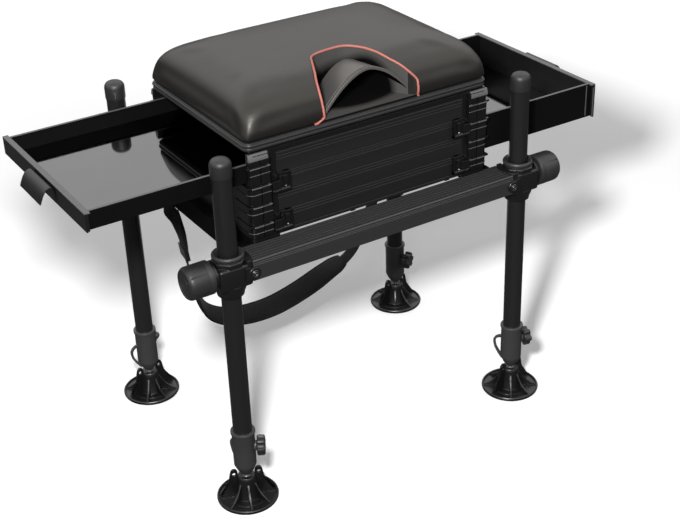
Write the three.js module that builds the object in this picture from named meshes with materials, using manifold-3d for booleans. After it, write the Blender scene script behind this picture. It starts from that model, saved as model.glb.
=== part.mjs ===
// Fishing seat box: a padded seat on stacked tray modules, carried by two ribbed rails and four
// sliding legs that stand on tilting mud feet. Millimetres, Z up, X along the rails, Y to the back.
// The ground is at zero height and the middle of the whole outline is at zero in X and Y.

import * as THREE from 'three';
import { mergeVertices } from 'three/addons/utils/BufferGeometryUtils.js';
import Module from 'manifold-3d';

const wasm = await Module();
wasm.setup();

// Fits shared by all pieces
const fit = 0.3;
const slideFit = 0.5;
const cutOverrun = 2;
const weld = 0.6;

// Legs and their spacing
const legBeyondBox = 52;
const legBesideBox = 22.5;
const legDiameter = 30;
const legWall = 1.8;
const legTop = 586;
const capLength = 32;
const capWall = 1.2;
const capCrown = 7;

// Rails
const railTop = 430.5;
const railTall = 33.5;
const railDepth = 47.6;
const railWall = 2.6;
const railGrooveDepth = 1.2;
const railGrooveWidth = 3.2;
const railGrooveCount = 6;

// Side bars that tie the rails together
const sideBarWidth = 20;
const sideBarWall = 2.4;
const sideBarFromLeg = 39;

// Leg clamps
const clampInner = 27;
const clampOuter = 26;
const clampBlockDrop = 3;
const spigotLength = 25;
const collarRadius = 25;
const collarTall = 16.5;
const collarNeck = 2.6;
const collarBead = 7.5;
const skirtTall = 21;
const skirtTaper = 4;
const clampBossRadius = 20;
const clampBossLength = 5.7;
const cheekThick = 6;
const cheekRadius = 9.5;
const cheekReach = 29;
const clampStudRadius = 5;

// Clamp knobs
const clampKnobRadius = 25.6;
const clampKnobLength = 40;
const clampKnobEdge = 3.5;
const clampKnobGroove = 0.9;

// Foot sleeves
const sleeveTop = 130;
const sleeveWall = 2.7;
const sleeveStraightEnd = 65;
const sleeveTaperEnd = 50;
const sleeveTaperRadius = 9;
const ballHeight = 36;
const ballRadius = 9.7;
const neckRadius = 4.5;
const sleeveBossRadius = 8;
const sleeveBossLength = 2;
const footKnobHeight = 99;
const footStudRadius = 3;
const loopReach = 14;
const loopTall = 48;
const loopThick = 4;
const loopHeight = 80;

// Foot knobs
const footKnobRadius = 14.2;
const footKnobLobe = 2.2;
const footKnobLength = 13;

// Mud feet
const footRadius = 49;
const footRim = 3.2;
const footRimTall = 6.5;
const footPlate = 3;
const hubBaseRadius = 18;
const hubTopRadius = 14;
const hubTop = 43;
const socketGap = 0.6;
const ribThick = 2.6;
const ribReach = 46;
const ribTop = 33;
const earThick = 3.6;
const earInner = 13.5;
const earOuter = 26;
const earTop = 56;
const earHoleRadius = 2.7;
const earHoleHeight = 45;

// Seat box
const boxWidth = 426;
const boxDepth = 312;
const boxForward = 3;
const boxLift = 4.2;
const baseTall = 32.7;
const drawerBayTall = 62.2;
const topTall = 48.2;
const postWidth = 46;
const postSide = 40;
const postThick = 4.5;
const postCorner = 7;
const moduleFloor = 2;
const sideWall = 3;
const ridgeTall = 3;
const ridgeProud = 3.5;
const ridgeSpan = 29;
const ridgePitch = 31;
const lowestRidge = 24;
const topFrameTall = 7.4;
const topFrameDepth = 9;
const capTabTall = 11;
const capTabWidth = 36;
const padWidth = 8;
const padDepth = 40;
const widePadWidth = 30;

// Aluminium panels
const panelThick = 4.2;
const panelGrooveDepth = 1;
const panelGrooveWidth = 2.4;
const panelGroovePitch = 5.4;

// Latches
const latchWidth = 32;
const latchTall = 32;
const latchThick = 6.8;
const latchAboveSeam = 9.5;
const latchPinRadius = 1.6;
const latchEarWidth = 5;
const latchEarInset = 4;
const latchInset = 26;
const keeperWidth = 6;
const keeperTall = 4;
const keeperAboveSeam = 2;
const keeperProud = 4;

// Side tray and side drawer
const trayWall = 2;
const trayLength = 395;
const trayTall = 28;
const trayOut = 249;
const drawerTall = 58;
const drawerOut = 227;
const trayRim = 4;
const endPlateThick = 2.6;
const endPlateOverhang = 7;
const endPlateRim = 6;
const pullWidth = 110;
const pullReach = 25;
const pullThick = 2;
const pullTall = 10.5;
const pullBelowRim = 5.5;

// Lid and cushion
const lidTall = 14.5;
const lidOverhang = 1.5;
const lidStep = 3.2;
const lidBeadDrop = 3.2;
const cushionOverhang = 2.5;
const crownHeight = 71;
const crownReach = 140;
const cushionCorner = 10;
const cushionCornerTop = 40;
const sideDraw = 2.5;
const recessHalfWidth = 88;
const recessDepth = 90;
const recessFloor = 4;
const recessFloorRise = 9;
const pipingRadius = 1.7;
const loopStrapThick = 4;
const loopFront = 10;
const loopWidth = 64;
const loopFrontHalf = 79;
const loopBackHalf = 43;
const loopFrontRise = 57;
const loopBackRise = 46;
const loopArchPower = 1.5;

// Lid hinge
const hingePinRadius = 1.5;
const hingeKnuckleRadius = 3.3;
const hingeLeafThick = 1.8;
const hingeLeafTall = 14;
const hingeFromTab = 7;
const hingeStandOff = 4.6;

// Shoulder strap
const strapY = 100;
const webWidth = 25;
const webThick = 2;
const strapPadWidth = 44;
const strapPadThick = 5;
const strapDrop = 259;
const adjusterWidth = 33;
const adjusterLength = 22;
const adjusterThick = 7;

// Roundness counts
const tubeSegments = 20;
const smallSegments = 8;
const ballSegments = 10;
const socketSteps = 4;
const discSegments = 24;
const capSteps = 3;
const lobeCount = 6;
const knobGrooveCount = 8;
const ribCount = 8;
const hingeKnuckleCount = 7;
const strapSteps = 40;
const padShares = [0.275, 0.675];
const adjusterShare = 0.125;
const pipingSteps = 32;

// Heights and places that follow from the sizes above
const railBottom = railTop - railTall;
const railMiddle = railTop - railTall / 2;
const legRadius = legDiameter / 2;
const sleeveRadius = legRadius + fit + sleeveWall;
const boxBottom = railTop + fit;
const panelBottom = boxBottom + boxLift;
const drawerBayBottom = boxBottom + baseTall + fit;
const topBottom = drawerBayBottom + drawerBayTall + fit;
const boxTop = topBottom + topTall;
const lidBottom = boxTop + fit;
const cushionBottom = lidBottom + lidTall + fit;
const halfWidth = boxWidth / 2;
const legSpacingX = boxWidth + legBeyondBox * 2;
const halfDepth = boxDepth / 2;
const legSpacingY = boxDepth + legBesideBox * 2;
const cushionHalfX = halfWidth + cushionOverhang;
const cushionHalfY = halfDepth + cushionOverhang - lidOverhang;
const bayHalfDepth = halfDepth - postThick;
const trayHalfDepth = bayHalfDepth - slideFit;
const knobEnd = legSpacingX / 2 + clampOuter + clampBossLength + fit + clampKnobLength;
const leftEnd = -(halfWidth + Math.max(trayOut + pullReach, knobEnd - halfWidth));
const rightEnd = halfWidth + Math.max(drawerOut + pullReach, knobEnd - halfWidth);
const outlineMiddle = (leftEnd + rightEnd) / 2;

const corners = [
  { name: 'front_left', sx: -1, sy: -1, sleeveTurn: -31, footTurn: -20 },
  { name: 'front_right', sx: 1, sy: -1, sleeveTurn: -10, footTurn: 10 },
  { name: 'rear_left', sx: -1, sy: 1, sleeveTurn: 50, footTurn: 10 },
  { name: 'rear_right', sx: 1, sy: 1, sleeveTurn: -60, footTurn: 10 },
];

// Materials

function finish(color, roughness, metalness) {
  return new THREE.MeshStandardMaterial({ color, roughness, metalness });
}

const blackTube = () => finish(0x2b2b2c, 0.42, 0.7);
const blackPlastic = () => finish(0x1b1b1c, 0.5, 0);
const ribbedAluminium = () => finish(0x3a3a3b, 0.45, 0.8);
const panelAluminium = () => finish(0x161617, 0.35, 0.6);
const glossyTray = () => finish(0x101011, 0.12, 0.3);
const blackRubber = () => finish(0x1f1f20, 0.62, 0);
const leatherette = () => finish(0x2a2826, 0.45, 0);
const coralPiping = () => finish(0xc8473e, 0.6, 0);
const blackWebbing = () => finish(0x121213, 0.8, 0);
const hingeSteel = () => finish(0x4a4a4c, 0.35, 0.9);

// Solid helpers

function toSolid(geometry) {
  const bare = geometry.clone();
  bare.deleteAttribute('normal');
  bare.deleteAttribute('uv');
  const merged = mergeVertices(bare, 1e-4);
  const vertProperties = new Float32Array(merged.attributes.position.array);
  const triVerts = new Uint32Array(merged.index.array);
  return new wasm.Manifold(new wasm.Mesh({ numProp: 3, vertProperties, triVerts }));
}

function toGeometry(solid) {
  const mesh = solid.getMesh();
  const geometry = new THREE.BufferGeometry();
  geometry.setAttribute('position', new THREE.BufferAttribute(new Float32Array(mesh.vertProperties), 3));
  geometry.setIndex(new THREE.BufferAttribute(new Uint32Array(mesh.triVerts), 1));
  geometry.computeVertexNormals();
  return geometry;
}

function joined(...geometries) {
  return toGeometry(geometries.map(toSolid).reduce((sum, next) => sum.add(next)));
}

function cutFrom(body, ...tools) {
  return toGeometry(tools.map(toSolid).reduce((left, tool) => left.subtract(tool), toSolid(body)));
}

function block([x0, x1], [y0, y1], [z0, z1]) {
  const geometry = new THREE.BoxGeometry(Math.abs(x1 - x0), Math.abs(y1 - y0), Math.abs(z1 - z0));
  return geometry.translate((x0 + x1) / 2, (y0 + y1) / 2, (z0 + z1) / 2);
}

// A round bar between two places along one axis, with the middle of its section given.
function rod(axis, radius, [from, to], [a, b], segments = tubeSegments) {
  const length = Math.abs(to - from);
  const geometry = new THREE.CylinderGeometry(radius, radius, length, segments);
  const middle = (from + to) / 2;
  if (axis === 'x') return geometry.rotateZ(Math.PI / 2).translate(middle, a, b);
  if (axis === 'y') return geometry.translate(a, middle, b);
  return geometry.rotateX(Math.PI / 2).translate(a, b, middle);
}

// A bore wide enough for a faceted rod of this radius to turn inside it.
function boreFor(axis, radius, span, middle) {
  const flat = Math.cos(Math.PI / smallSegments);
  return rod(axis, (radius + fit) / flat, span, middle, smallSegments);
}

// A turned piece from radius and height pairs that start and end on the axis or close on themselves.
function turned(pairs, segments = tubeSegments) {
  const profile = pairs.map(([radius, height]) => new THREE.Vector2(radius, height));
  return new THREE.LatheGeometry(profile, segments).rotateX(Math.PI / 2);
}

// An outline drawn in X and Z, run along Y from the front face to the back face.
function slabAlongY(points, front, back, holes = []) {
  const shape = new THREE.Shape(points.map(([x, z]) => new THREE.Vector2(x, z)));
  holes.forEach((hole) => shape.holes.push(hole));
  const geometry = new THREE.ExtrudeGeometry(shape, { depth: back - front, bevelEnabled: false });
  return geometry.rotateX(Math.PI / 2).translate(0, back, 0);
}

// An outline drawn in Y and Z, run along X.
function slabAlongX(points, left, right, holes = []) {
  const shape = new THREE.Shape(points.map(([y, z]) => new THREE.Vector2(y, z)));
  holes.forEach((hole) => shape.holes.push(hole));
  const geometry = new THREE.ExtrudeGeometry(shape, { depth: right - left, bevelEnabled: false });
  return geometry.rotateX(Math.PI / 2).rotateZ(Math.PI / 2).translate(left, 0, 0);
}

const triangleCorners = 3;

// A mirrored copy that keeps its faces pointing out.
function mirrored(geometry, sx, sy) {
  const copy = (geometry.index ? geometry.toNonIndexed() : geometry.clone()).scale(sx, sy, 1);
  if (sx * sy > 0) return copy;
  const place = copy.attributes.position;
  const first = new THREE.Vector3();
  const last = new THREE.Vector3();
  for (let corner = 0; corner < place.count; corner += triangleCorners) {
    const end = corner + triangleCorners - 1;
    first.fromBufferAttribute(place, corner);
    last.fromBufferAttribute(place, end);
    place.setXYZ(corner, last.x, last.y, last.z);
    place.setXYZ(end, first.x, first.y, first.z);
  }
  return copy;
}

// A closed body through rings of equal point counts, closed flat at its first and last ring.
function lofted(rings) {
  const count = rings[0].length;
  const points = rings.flat();
  const faces = [];
  for (let level = 0; level + 1 < rings.length; level += 1) {
    for (let step = 0; step < count; step += 1) {
      const next = (step + 1) % count;
      const low = level * count;
      const high = low + count;
      faces.push(low + step, low + next, high + next);
      faces.push(low + step, high + next, high + step);
    }
  }
  const last = (rings.length - 1) * count;
  capFaces(rings[0]).forEach(([a, b, c]) => faces.push(a, c, b));
  capFaces(rings[rings.length - 1]).forEach(([a, b, c]) => faces.push(last + a, last + b, last + c));
  const geometry = new THREE.BufferGeometry().setFromPoints(points);
  geometry.setIndex(faces);
  if (signedVolume(geometry) < 0) flipFaces(geometry);
  return geometry;
}

function capFaces(ring) {
  const normal = new THREE.Vector3();
  ring.forEach((point, step) => {
    const next = ring[(step + 1) % ring.length];
    normal.add(new THREE.Vector3().crossVectors(point, next));
  });
  const turn = new THREE.Quaternion().setFromUnitVectors(normal.normalize(), new THREE.Vector3(0, 0, 1));
  const flat = ring.map((point) => point.clone().applyQuaternion(turn));
  return THREE.ShapeUtils.triangulateShape(flat.map((point) => new THREE.Vector2(point.x, point.y)), []);
}

function signedVolume(geometry) {
  const place = geometry.attributes.position;
  const [a, b, c] = [new THREE.Vector3(), new THREE.Vector3(), new THREE.Vector3()];
  let total = 0;
  for (let face = 0; face < geometry.index.count; face += triangleCorners) {
    a.fromBufferAttribute(place, geometry.index.getX(face));
    b.fromBufferAttribute(place, geometry.index.getX(face + 1));
    c.fromBufferAttribute(place, geometry.index.getX(face + 2));
    total += a.dot(b.cross(c));
  }
  return total;
}

function flipFaces(geometry) {
  const index = geometry.index;
  for (let face = 0; face < index.count; face += triangleCorners) {
    const second = index.getX(face + 1);
    index.setX(face + 1, index.getX(face + 2));
    index.setX(face + 2, second);
  }
}

// A rounded rectangle ring at one height, with its sides drawn in between the corners.
const cornerSteps = 4;
const sideSteps = 6;

function roundedRing(halfX, halfY, radius, height, draw = 0, middleY = 0) {
  const ring = [];
  const quarters = [[1, 1], [-1, 1], [-1, -1], [1, -1]];
  quarters.forEach(([sx, sy], quarter) => {
    for (let step = 0; step <= cornerSteps; step += 1) {
      const angle = (Math.PI / 2) * (quarter + step / cornerSteps);
      const x = sx * (halfX - radius) + radius * Math.cos(angle);
      const y = sy * (halfY - radius) + radius * Math.sin(angle);
      ring.push(new THREE.Vector3(x, middleY + y, height));
    }
    const alongX = quarter % 2 === 0;
    const span = 2 * ((alongX ? halfX : halfY) - radius);
    const pulled = quarter === 2 ? 0 : draw;
    for (let step = 1; step < sideSteps; step += 1) {
      const share = step / sideSteps;
      const along = span * (0.5 - share);
      const across = pulled * Math.sin(Math.PI * share);
      const x = alongX ? sx * along : sx * (halfX - across);
      const y = alongX ? sy * (halfY - across) : sy * along;
      ring.push(new THREE.Vector3(x, middleY + y, height));
    }
  });
  return ring;
}

// The outline of a strip of even thickness that hangs under a line of points.
function stripOutline(points, thick) {
  const under = points.map(([a, b], step) => {
    const [a0, b0] = points[Math.max(step - 1, 0)];
    const [a1, b1] = points[Math.min(step + 1, points.length - 1)];
    const length = Math.hypot(a1 - a0, b1 - b0);
    return [a + ((b1 - b0) * thick) / length, b - ((a1 - a0) * thick) / length];
  });
  return [...points, ...under.reverse()];
}

const root = new THREE.Group();

function place(name, geometry, material, parent = root) {
  const mesh = new THREE.Mesh(geometry, material);
  mesh.name = name;
  parent.add(mesh);
  return mesh;
}

// Rails: hollow extrusions with grooves along their tops

function railGeometry() {
  const half = railDepth / 2;
  const pitch = railDepth / (railGrooveCount + 1);
  const top = [];
  for (let groove = 1; groove <= railGrooveCount; groove += 1) {
    const middle = half - groove * pitch;
    const side = railGrooveWidth / 2;
    top.push([middle + side, railTop], [middle + side, railTop - railGrooveDepth]);
    top.push([middle - side, railTop - railGrooveDepth], [middle - side, railTop]);
  }
  const outline = [[-half, railTop], [-half, railBottom], [half, railBottom], [half, railTop], ...top];
  const inside = half - railWall;
  const hollow = new THREE.Path([
    new THREE.Vector2(-inside, railBottom + railWall),
    new THREE.Vector2(inside, railBottom + railWall),
    new THREE.Vector2(inside, railTop - railWall),
    new THREE.Vector2(-inside, railTop - railWall),
  ]);
  const end = legSpacingX / 2 - clampInner - fit;
  return slabAlongX(outline, -end, end, [hollow]);
}

function buildRails() {
  for (const [name, side] of [['front_rail', -1], ['rear_rail', 1]]) {
    const rail = place(name, railGeometry(), ribbedAluminium());
    rail.position.y = side * legSpacingY / 2;
  }
}

function sideBarGeometry() {
  const end = legSpacingY / 2 - railDepth / 2 - fit;
  const half = sideBarWidth / 2;
  const outer = block([-half, half], [-end, end], [railBottom, railTop]);
  const inner = block(
    [-half + sideBarWall, half - sideBarWall],
    [-end - cutOverrun, end + cutOverrun],
    [railBottom + sideBarWall, railTop - sideBarWall],
  );
  return cutFrom(outer, inner);
}

const sideBarMiddle = legSpacingX / 2 - sideBarFromLeg - sideBarWidth / 2;

function buildSideBars() {
  for (const [name, side] of [['left_side_bar', -1], ['right_side_bar', 1]]) {
    const bar = place(name, sideBarGeometry(), panelAluminium());
    bar.position.x = side * sideBarMiddle;
  }
}

// Leg clamps: a block with a collar above, a skirt below, a spigot in the rail and a cheek over it

function clampGeometry() {
  const blockTop = railTop - clampBlockDrop;
  const halfDepthOfBlock = railDepth / 2;
  const body = block(
    [-clampInner, clampOuter], [-halfDepthOfBlock, halfDepthOfBlock], [railBottom, blockTop],
  );
  const spigotHalf = halfDepthOfBlock - railWall - fit;
  const spigot = block(
    [-clampInner - spigotLength, -clampInner + weld],
    [-spigotHalf, spigotHalf],
    [railBottom + railWall + fit, railTop - railWall - fit - clampBlockDrop],
  );
  const collar = turned([
    [0, blockTop - weld],
    [collarRadius, blockTop - weld],
    [collarRadius, blockTop + collarBead / 2],
    [collarRadius - collarNeck, blockTop + collarBead / 2 + collarNeck / 2],
    [collarRadius - collarNeck, blockTop + collarTall - collarBead],
    [collarRadius, blockTop + collarTall - collarBead + collarNeck / 2],
    [collarRadius, blockTop + collarTall - collarNeck / 2],
    [collarRadius - collarNeck, blockTop + collarTall],
    [0, blockTop + collarTall],
  ]);
  const skirt = turned([
    [0, railBottom - skirtTall],
    [collarRadius - skirtTaper, railBottom - skirtTall],
    [collarRadius, railBottom - skirtTall / 2],
    [collarRadius, railBottom + weld],
    [0, railBottom + weld],
  ]);
  const outerBoss = rod(
    'x', clampBossRadius, [clampOuter - weld, clampOuter + clampBossLength], [0, railMiddle],
  );
  const cheekFront = -halfDepthOfBlock - fit - cheekThick;
  const cheekBack = -halfDepthOfBlock - fit;
  const cheekArm = block(
    [-cheekReach, -clampInner / 2],
    [cheekFront, cheekBack],
    [railMiddle - cheekRadius, railMiddle + cheekRadius],
  );
  const cheekRoot = block(
    [-clampInner + weld, -clampInner / 2],
    [cheekBack - weld, -halfDepthOfBlock + weld],
    [railMiddle - cheekRadius, railMiddle + cheekRadius],
  );
  const cheekEnd = rod('y', cheekRadius, [cheekFront, cheekBack], [-cheekReach, railMiddle], smallSegments);
  const legBore = rod('z', legRadius + fit, [0, legTop], [0, 0]);
  const studBore = boreFor('x', clampStudRadius, [0, legSpacingX], [0, railMiddle]);
  const whole = joined(body, spigot, collar, skirt, outerBoss, cheekArm, cheekRoot, cheekEnd);
  return cutFrom(whole, legBore, studBore);
}

function clampKnobGeometry() {
  const start = clampOuter + clampBossLength + fit;
  const end = start + clampKnobLength;
  const core = turned([
    [0, start],
    [clampKnobRadius, start],
    [clampKnobRadius, end - clampKnobEdge],
    [clampKnobRadius - clampKnobEdge, end],
    [0, end],
  ], knobGrooveCount * 4).rotateY(Math.PI / 2).translate(0, 0, railMiddle);
  const grooves = [];
  const grooveRadius = clampKnobGroove * 2;
  for (let groove = 0; groove < knobGrooveCount; groove += 1) {
    const angle = (groove * 2 * Math.PI) / knobGrooveCount;
    const reach = clampKnobRadius + grooveRadius - clampKnobGroove;
    const middle = [reach * Math.cos(angle), railMiddle + reach * Math.sin(angle)];
    const span = [start + clampKnobEdge, end + cutOverrun];
    grooves.push(rod('x', grooveRadius, span, middle, cornerSteps * 2));
  }
  const stud = rod('x', clampStudRadius, [legRadius + fit, start + weld], [0, railMiddle], smallSegments);
  return joined(cutFrom(core, ...grooves), stud);
}

// Legs

function legTubeGeometry() {
  const bottom = sleeveStraightEnd;
  const inner = legRadius - legWall;
  return turned([
    [inner, bottom], [legRadius, bottom], [legRadius, legTop], [inner, legTop], [inner, bottom],
  ]);
}

function legCapGeometry() {
  const bore = legRadius + fit;
  const outer = bore + capWall;
  const bottom = legTop - capLength;
  const roof = legTop + fit;
  const domeStart = legTop - capCrown;
  const profile = [[bore, bottom], [outer, bottom]];
  for (let step = 0; step <= capSteps; step += 1) {
    const angle = (Math.PI / 2) * (step / (capSteps + 1));
    profile.push([outer * Math.cos(angle), domeStart + capCrown * 2 * Math.sin(angle)]);
  }
  profile.push([0, domeStart + capCrown * 2], [0, roof], [bore, roof], [bore, bottom]);
  return turned(profile);
}

// Foot sleeves: a socket for the leg, a tapered end with a ball, a knob boss and a moulded loop

const loopOutlineShares = [
  [0, 1], [0.42, 0.98], [0.86, 0.86], [1, 0.66], [0.9, 0.44], [0.42, 0.1], [0.1, 0], [-0.3, 0.1],
  [-0.3, 0.9],
];
const loopHoleShares = [[0.22, 0.8], [0.62, 0.74], [0.72, 0.62], [0.62, 0.5], [0.22, 0.3]];

function sleeveGeometry() {
  const bore = legRadius + fit;
  const seat = sleeveStraightEnd - fit;
  const profile = [[0, seat], [bore, seat], [bore, sleeveTop], [sleeveRadius, sleeveTop]];
  profile.push([sleeveRadius, sleeveStraightEnd], [sleeveTaperRadius, sleeveTaperEnd]);
  profile.push([neckRadius, sleeveTaperEnd - weld]);
  const neckAngle = Math.asin(neckRadius / ballRadius);
  for (let step = 0; step <= ballSegments / 2; step += 1) {
    const angle = neckAngle + ((Math.PI - neckAngle) * step) / (ballSegments / 2);
    profile.push([Math.max(ballRadius * Math.sin(angle), 0), ballHeight + ballRadius * Math.cos(angle)]);
  }
  profile[profile.length - 1][0] = 0;
  const tube = turned(profile.reverse());
  const boss = rod(
    'x', sleeveBossRadius, [legRadius + fit + sleeveWall / 2, sleeveRadius + sleeveBossLength],
    [0, footKnobHeight], smallSegments,
  );
  const finOutline = loopOutlineShares.map(([out, up]) => [
    -sleeveRadius - out * loopReach + weld, loopBottom + up * loopTall,
  ]);
  const finHole = new THREE.Path(loopHoleShares.map(
    ([out, up]) => new THREE.Vector2(-sleeveRadius - out * loopReach, loopBottom + up * loopTall),
  ));
  const fin = slabAlongY(finOutline, -loopThick / 2, loopThick / 2, [finHole]).rotateZ(-Math.PI / 4);
  const legSpace = rod('z', bore, [seat, sleeveTop + cutOverrun], [0, 0]);
  const studBore = boreFor('x', footStudRadius, [0, sleeveRadius * 2], [0, footKnobHeight]);
  return cutFrom(joined(tube, boss, fin), legSpace, studBore);
}

const loopBottom = loopHeight - loopTall / 2;

function footKnobGeometry() {
  const start = sleeveRadius + sleeveBossLength + fit;
  const steps = lobeCount * 6;
  const outline = [];
  for (let step = 0; step < steps; step += 1) {
    const angle = (step * 2 * Math.PI) / steps;
    const radius = footKnobRadius + footKnobLobe * Math.cos(lobeCount * angle);
    outline.push([radius * Math.cos(angle), footKnobHeight + radius * Math.sin(angle)]);
  }
  const head = slabAlongX(outline, start, start + footKnobLength);
  const stud = rod(
    'x', footStudRadius, [legRadius + fit, start + weld], [0, footKnobHeight], smallSegments,
  );
  return joined(head, stud);
}

// Mud feet: a rimmed disc with ribs, two drilled ears and a socket for the ball

function footDiscGeometry() {
  const socket = ballRadius + socketGap;
  const mouth = Math.sqrt(socket ** 2 - (hubTop - ballHeight) ** 2);
  const mouthAngle = Math.atan2(mouth, hubTop - ballHeight);
  const profile = [
    [0, 0], [footRadius - footRim / 2, 0], [footRadius, footRim / 2],
    [footRadius, footRimTall - footRim / 3], [footRadius - footRim, footRimTall],
    [footRadius - footRim, footPlate], [hubBaseRadius, footPlate], [hubTopRadius, hubTop], [mouth, hubTop],
  ];
  for (let step = 1; step <= socketSteps; step += 1) {
    const angle = mouthAngle + ((Math.PI - mouthAngle) * step) / socketSteps;
    profile.push([Math.max(socket * Math.sin(angle), 0), ballHeight + socket * Math.cos(angle)]);
  }
  profile[profile.length - 1][0] = 0;
  return turned(profile, discSegments);
}

const ribKneeShare = 0.62;

function footRib(inner, outer, top, thick, angle) {
  const low = footPlate - weld;
  const outline = [
    [inner, low], [outer, low], [outer, footRimTall - footRim / 2],
    [inner + (outer - inner) / 3, top * ribKneeShare], [inner, top],
  ];
  return slabAlongY(outline, -thick / 2, thick / 2).rotateZ(angle);
}

function footEar(angle) {
  const low = footPlate - weld;
  const shoulder = earTop - earHoleRadius * 2;
  const outline = [
    [hubTopRadius - weld, low], [ribReach, low], [ribReach, footRimTall - footRim / 2],
    [earOuter, earHoleHeight - earHoleRadius * 2], [earOuter - earHoleRadius, shoulder],
    [(earInner + earOuter) / 2, earTop], [earInner, earTop - earHoleRadius], [earInner, hubTop - weld],
    [hubTopRadius - weld, hubTop - weld],
  ];
  const hole = new THREE.Path();
  hole.absarc((earInner + earOuter) / 2, earHoleHeight, earHoleRadius, 0, 2 * Math.PI, true);
  const points = hole.getPoints(2).slice(0, -1);
  return slabAlongY(outline, -earThick / 2, earThick / 2, [new THREE.Path(points)]).rotateZ(angle);
}

function mudFootGeometry() {
  const pieces = [footDiscGeometry()];
  for (let rib = 0; rib < ribCount; rib += 1) {
    const angle = (rib * 2 * Math.PI) / ribCount;
    const isEar = rib % (ribCount / 2) === 0;
    const inner = hubTopRadius - weld;
    pieces.push(isEar ? footEar(angle) : footRib(inner, ribReach, ribTop, ribThick, angle));
  }
  return joined(...pieces);
}

function buildLegs() {
  for (const { name, sx, sy, sleeveTurn, footTurn } of corners) {
    const leg = new THREE.Group();
    leg.position.set((sx * legSpacingX) / 2, (sy * legSpacingY) / 2, 0);
    root.add(leg);
    place(`clamp_${name}`, mirrored(clampGeometry(), sx, -sy), blackPlastic(), leg);
    place(`clamp_knob_${name}`, mirrored(clampKnobGeometry(), sx, 1), blackPlastic(), leg);
    place(`leg_tube_${name}`, legTubeGeometry(), blackTube(), leg);
    place(`leg_cap_${name}`, legCapGeometry(), blackRubber(), leg);
    const sleeve = new THREE.Group();
    sleeve.rotation.z = THREE.MathUtils.degToRad(sleeveTurn);
    leg.add(sleeve);
    place(`foot_sleeve_${name}`, sleeveGeometry(), blackPlastic(), sleeve);
    place(`foot_knob_${name}`, footKnobGeometry(), blackPlastic(), sleeve);
    const foot = place(`mud_foot_${name}`, mudFootGeometry(), blackPlastic(), leg);
    foot.rotation.z = THREE.MathUtils.degToRad(footTurn);
  }
}

// Box modules: corner posts, closed sides and a floor, with ridges around the corners

function postOutline(closedSide) {
  const inner = halfWidth - postWidth;
  const outline = [[inner, -halfDepth]];
  for (let step = 0; step <= cornerSteps; step += 1) {
    const angle = (Math.PI / 2) * (step / cornerSteps) - Math.PI / 2;
    const radius = closedSide ? postCorner : postThick / 2;
    outline.push([
      halfWidth - radius + radius * Math.cos(angle),
      -halfDepth + radius + radius * Math.sin(angle),
    ]);
  }
  if (closedSide) {
    outline.push([halfWidth, -halfDepth + postSide], [halfWidth - postThick, -halfDepth + postSide]);
    outline.push([halfWidth - postThick, -bayHalfDepth]);
  } else {
    outline.push([halfWidth, -bayHalfDepth]);
  }
  outline.push([inner, -bayHalfDepth]);
  return outline;
}

function upright(outline, bottom, top) {
  const shape = new THREE.Shape(outline.map(([x, y]) => new THREE.Vector2(x, y)));
  const geometry = new THREE.ExtrudeGeometry(shape, { depth: top - bottom, bevelEnabled: false });
  return geometry.translate(0, 0, bottom);
}

function ridgePieces(height, closedSide) {
  const low = height - ridgeTall / 2;
  const high = height + ridgeTall / 2;
  const end = halfWidth + ridgeProud;
  const front = block(
    [halfWidth - ridgeSpan, end], [-halfDepth - ridgeProud, -halfDepth + weld], [low, high],
  );
  if (!closedSide) return [front];
  const side = block(
    [halfWidth - weld, end], [-halfDepth - ridgeProud, -halfDepth + postSide], [low, high],
  );
  return [front, side];
}

const latchEarMiddle = halfWidth - postWidth + latchEarInset;

function latchBracket(pivotHeight) {
  const middle = latchEarMiddle;
  const out = latchThick / 2 + fit;
  const arm = block(
    [middle - latchEarWidth / 2, middle + latchEarWidth / 2],
    [-halfDepth - out, -halfDepth + weld],
    [pivotHeight - out, pivotHeight + out],
  );
  const eye = rod(
    'x', out, [middle - latchEarWidth / 2, middle + latchEarWidth / 2], [-halfDepth - out, pivotHeight],
    smallSegments,
  );
  const hole = rod(
    'x', latchPinRadius + fit, [middle - latchEarWidth, middle + latchEarWidth],
    [-halfDepth - out, pivotHeight], smallSegments,
  );
  return cutFrom(joined(arm, eye), hole);
}

function keeper(height) {
  const middle = latchEarMiddle;
  return block(
    [middle - keeperWidth / 2, middle + keeperWidth / 2],
    [-halfDepth - keeperProud, -halfDepth + weld],
    [height - keeperTall / 2, height + keeperTall / 2],
  );
}

const pivotBelowSeam = latchTall - latchAboveSeam - latchThick / 2;
const lowerPivot = drawerBayBottom - pivotBelowSeam;
const upperPivot = topBottom - pivotBelowSeam;
const keeperRise = pivotBelowSeam + keeperAboveSeam + keeperTall / 2;

// One module: what it holds at its front corners is a list of extra pieces, mirrored left to right.
function moduleGeometry({ bottom, top, floor, closed, ridges, frontExtras }) {
  const pieces = [];
  for (const sx of [-1, 1]) {
    const isClosed = closed.includes(sx);
    for (const sy of [1, -1]) {
      pieces.push(mirrored(upright(postOutline(isClosed), bottom, top), sx, sy));
      ridges.forEach((height) => {
        ridgePieces(height, isClosed).forEach((piece) => pieces.push(mirrored(piece, sx, sy)));
      });
    }
    frontExtras.forEach((piece) => pieces.push(mirrored(piece, sx, 1)));
    if (isClosed) {
      const inner = halfWidth - sideWall;
      const wall = block(
        [inner, halfWidth - fit], [-halfDepth + postSide - weld, halfDepth - postSide + weld],
        [floor, top],
      );
      pieces.push(mirrored(wall, sx, 1));
    }
  }
  const edge = halfWidth - postThick - fit;
  pieces.push(block(
    [-edge - weld, edge + weld], [-bayHalfDepth, bayHalfDepth], [floor, floor + moduleFloor],
  ));
  pieces.push(...floorTabs(floor));
  return joined(...pieces).translate(0, -boxForward, 0);
}

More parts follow.
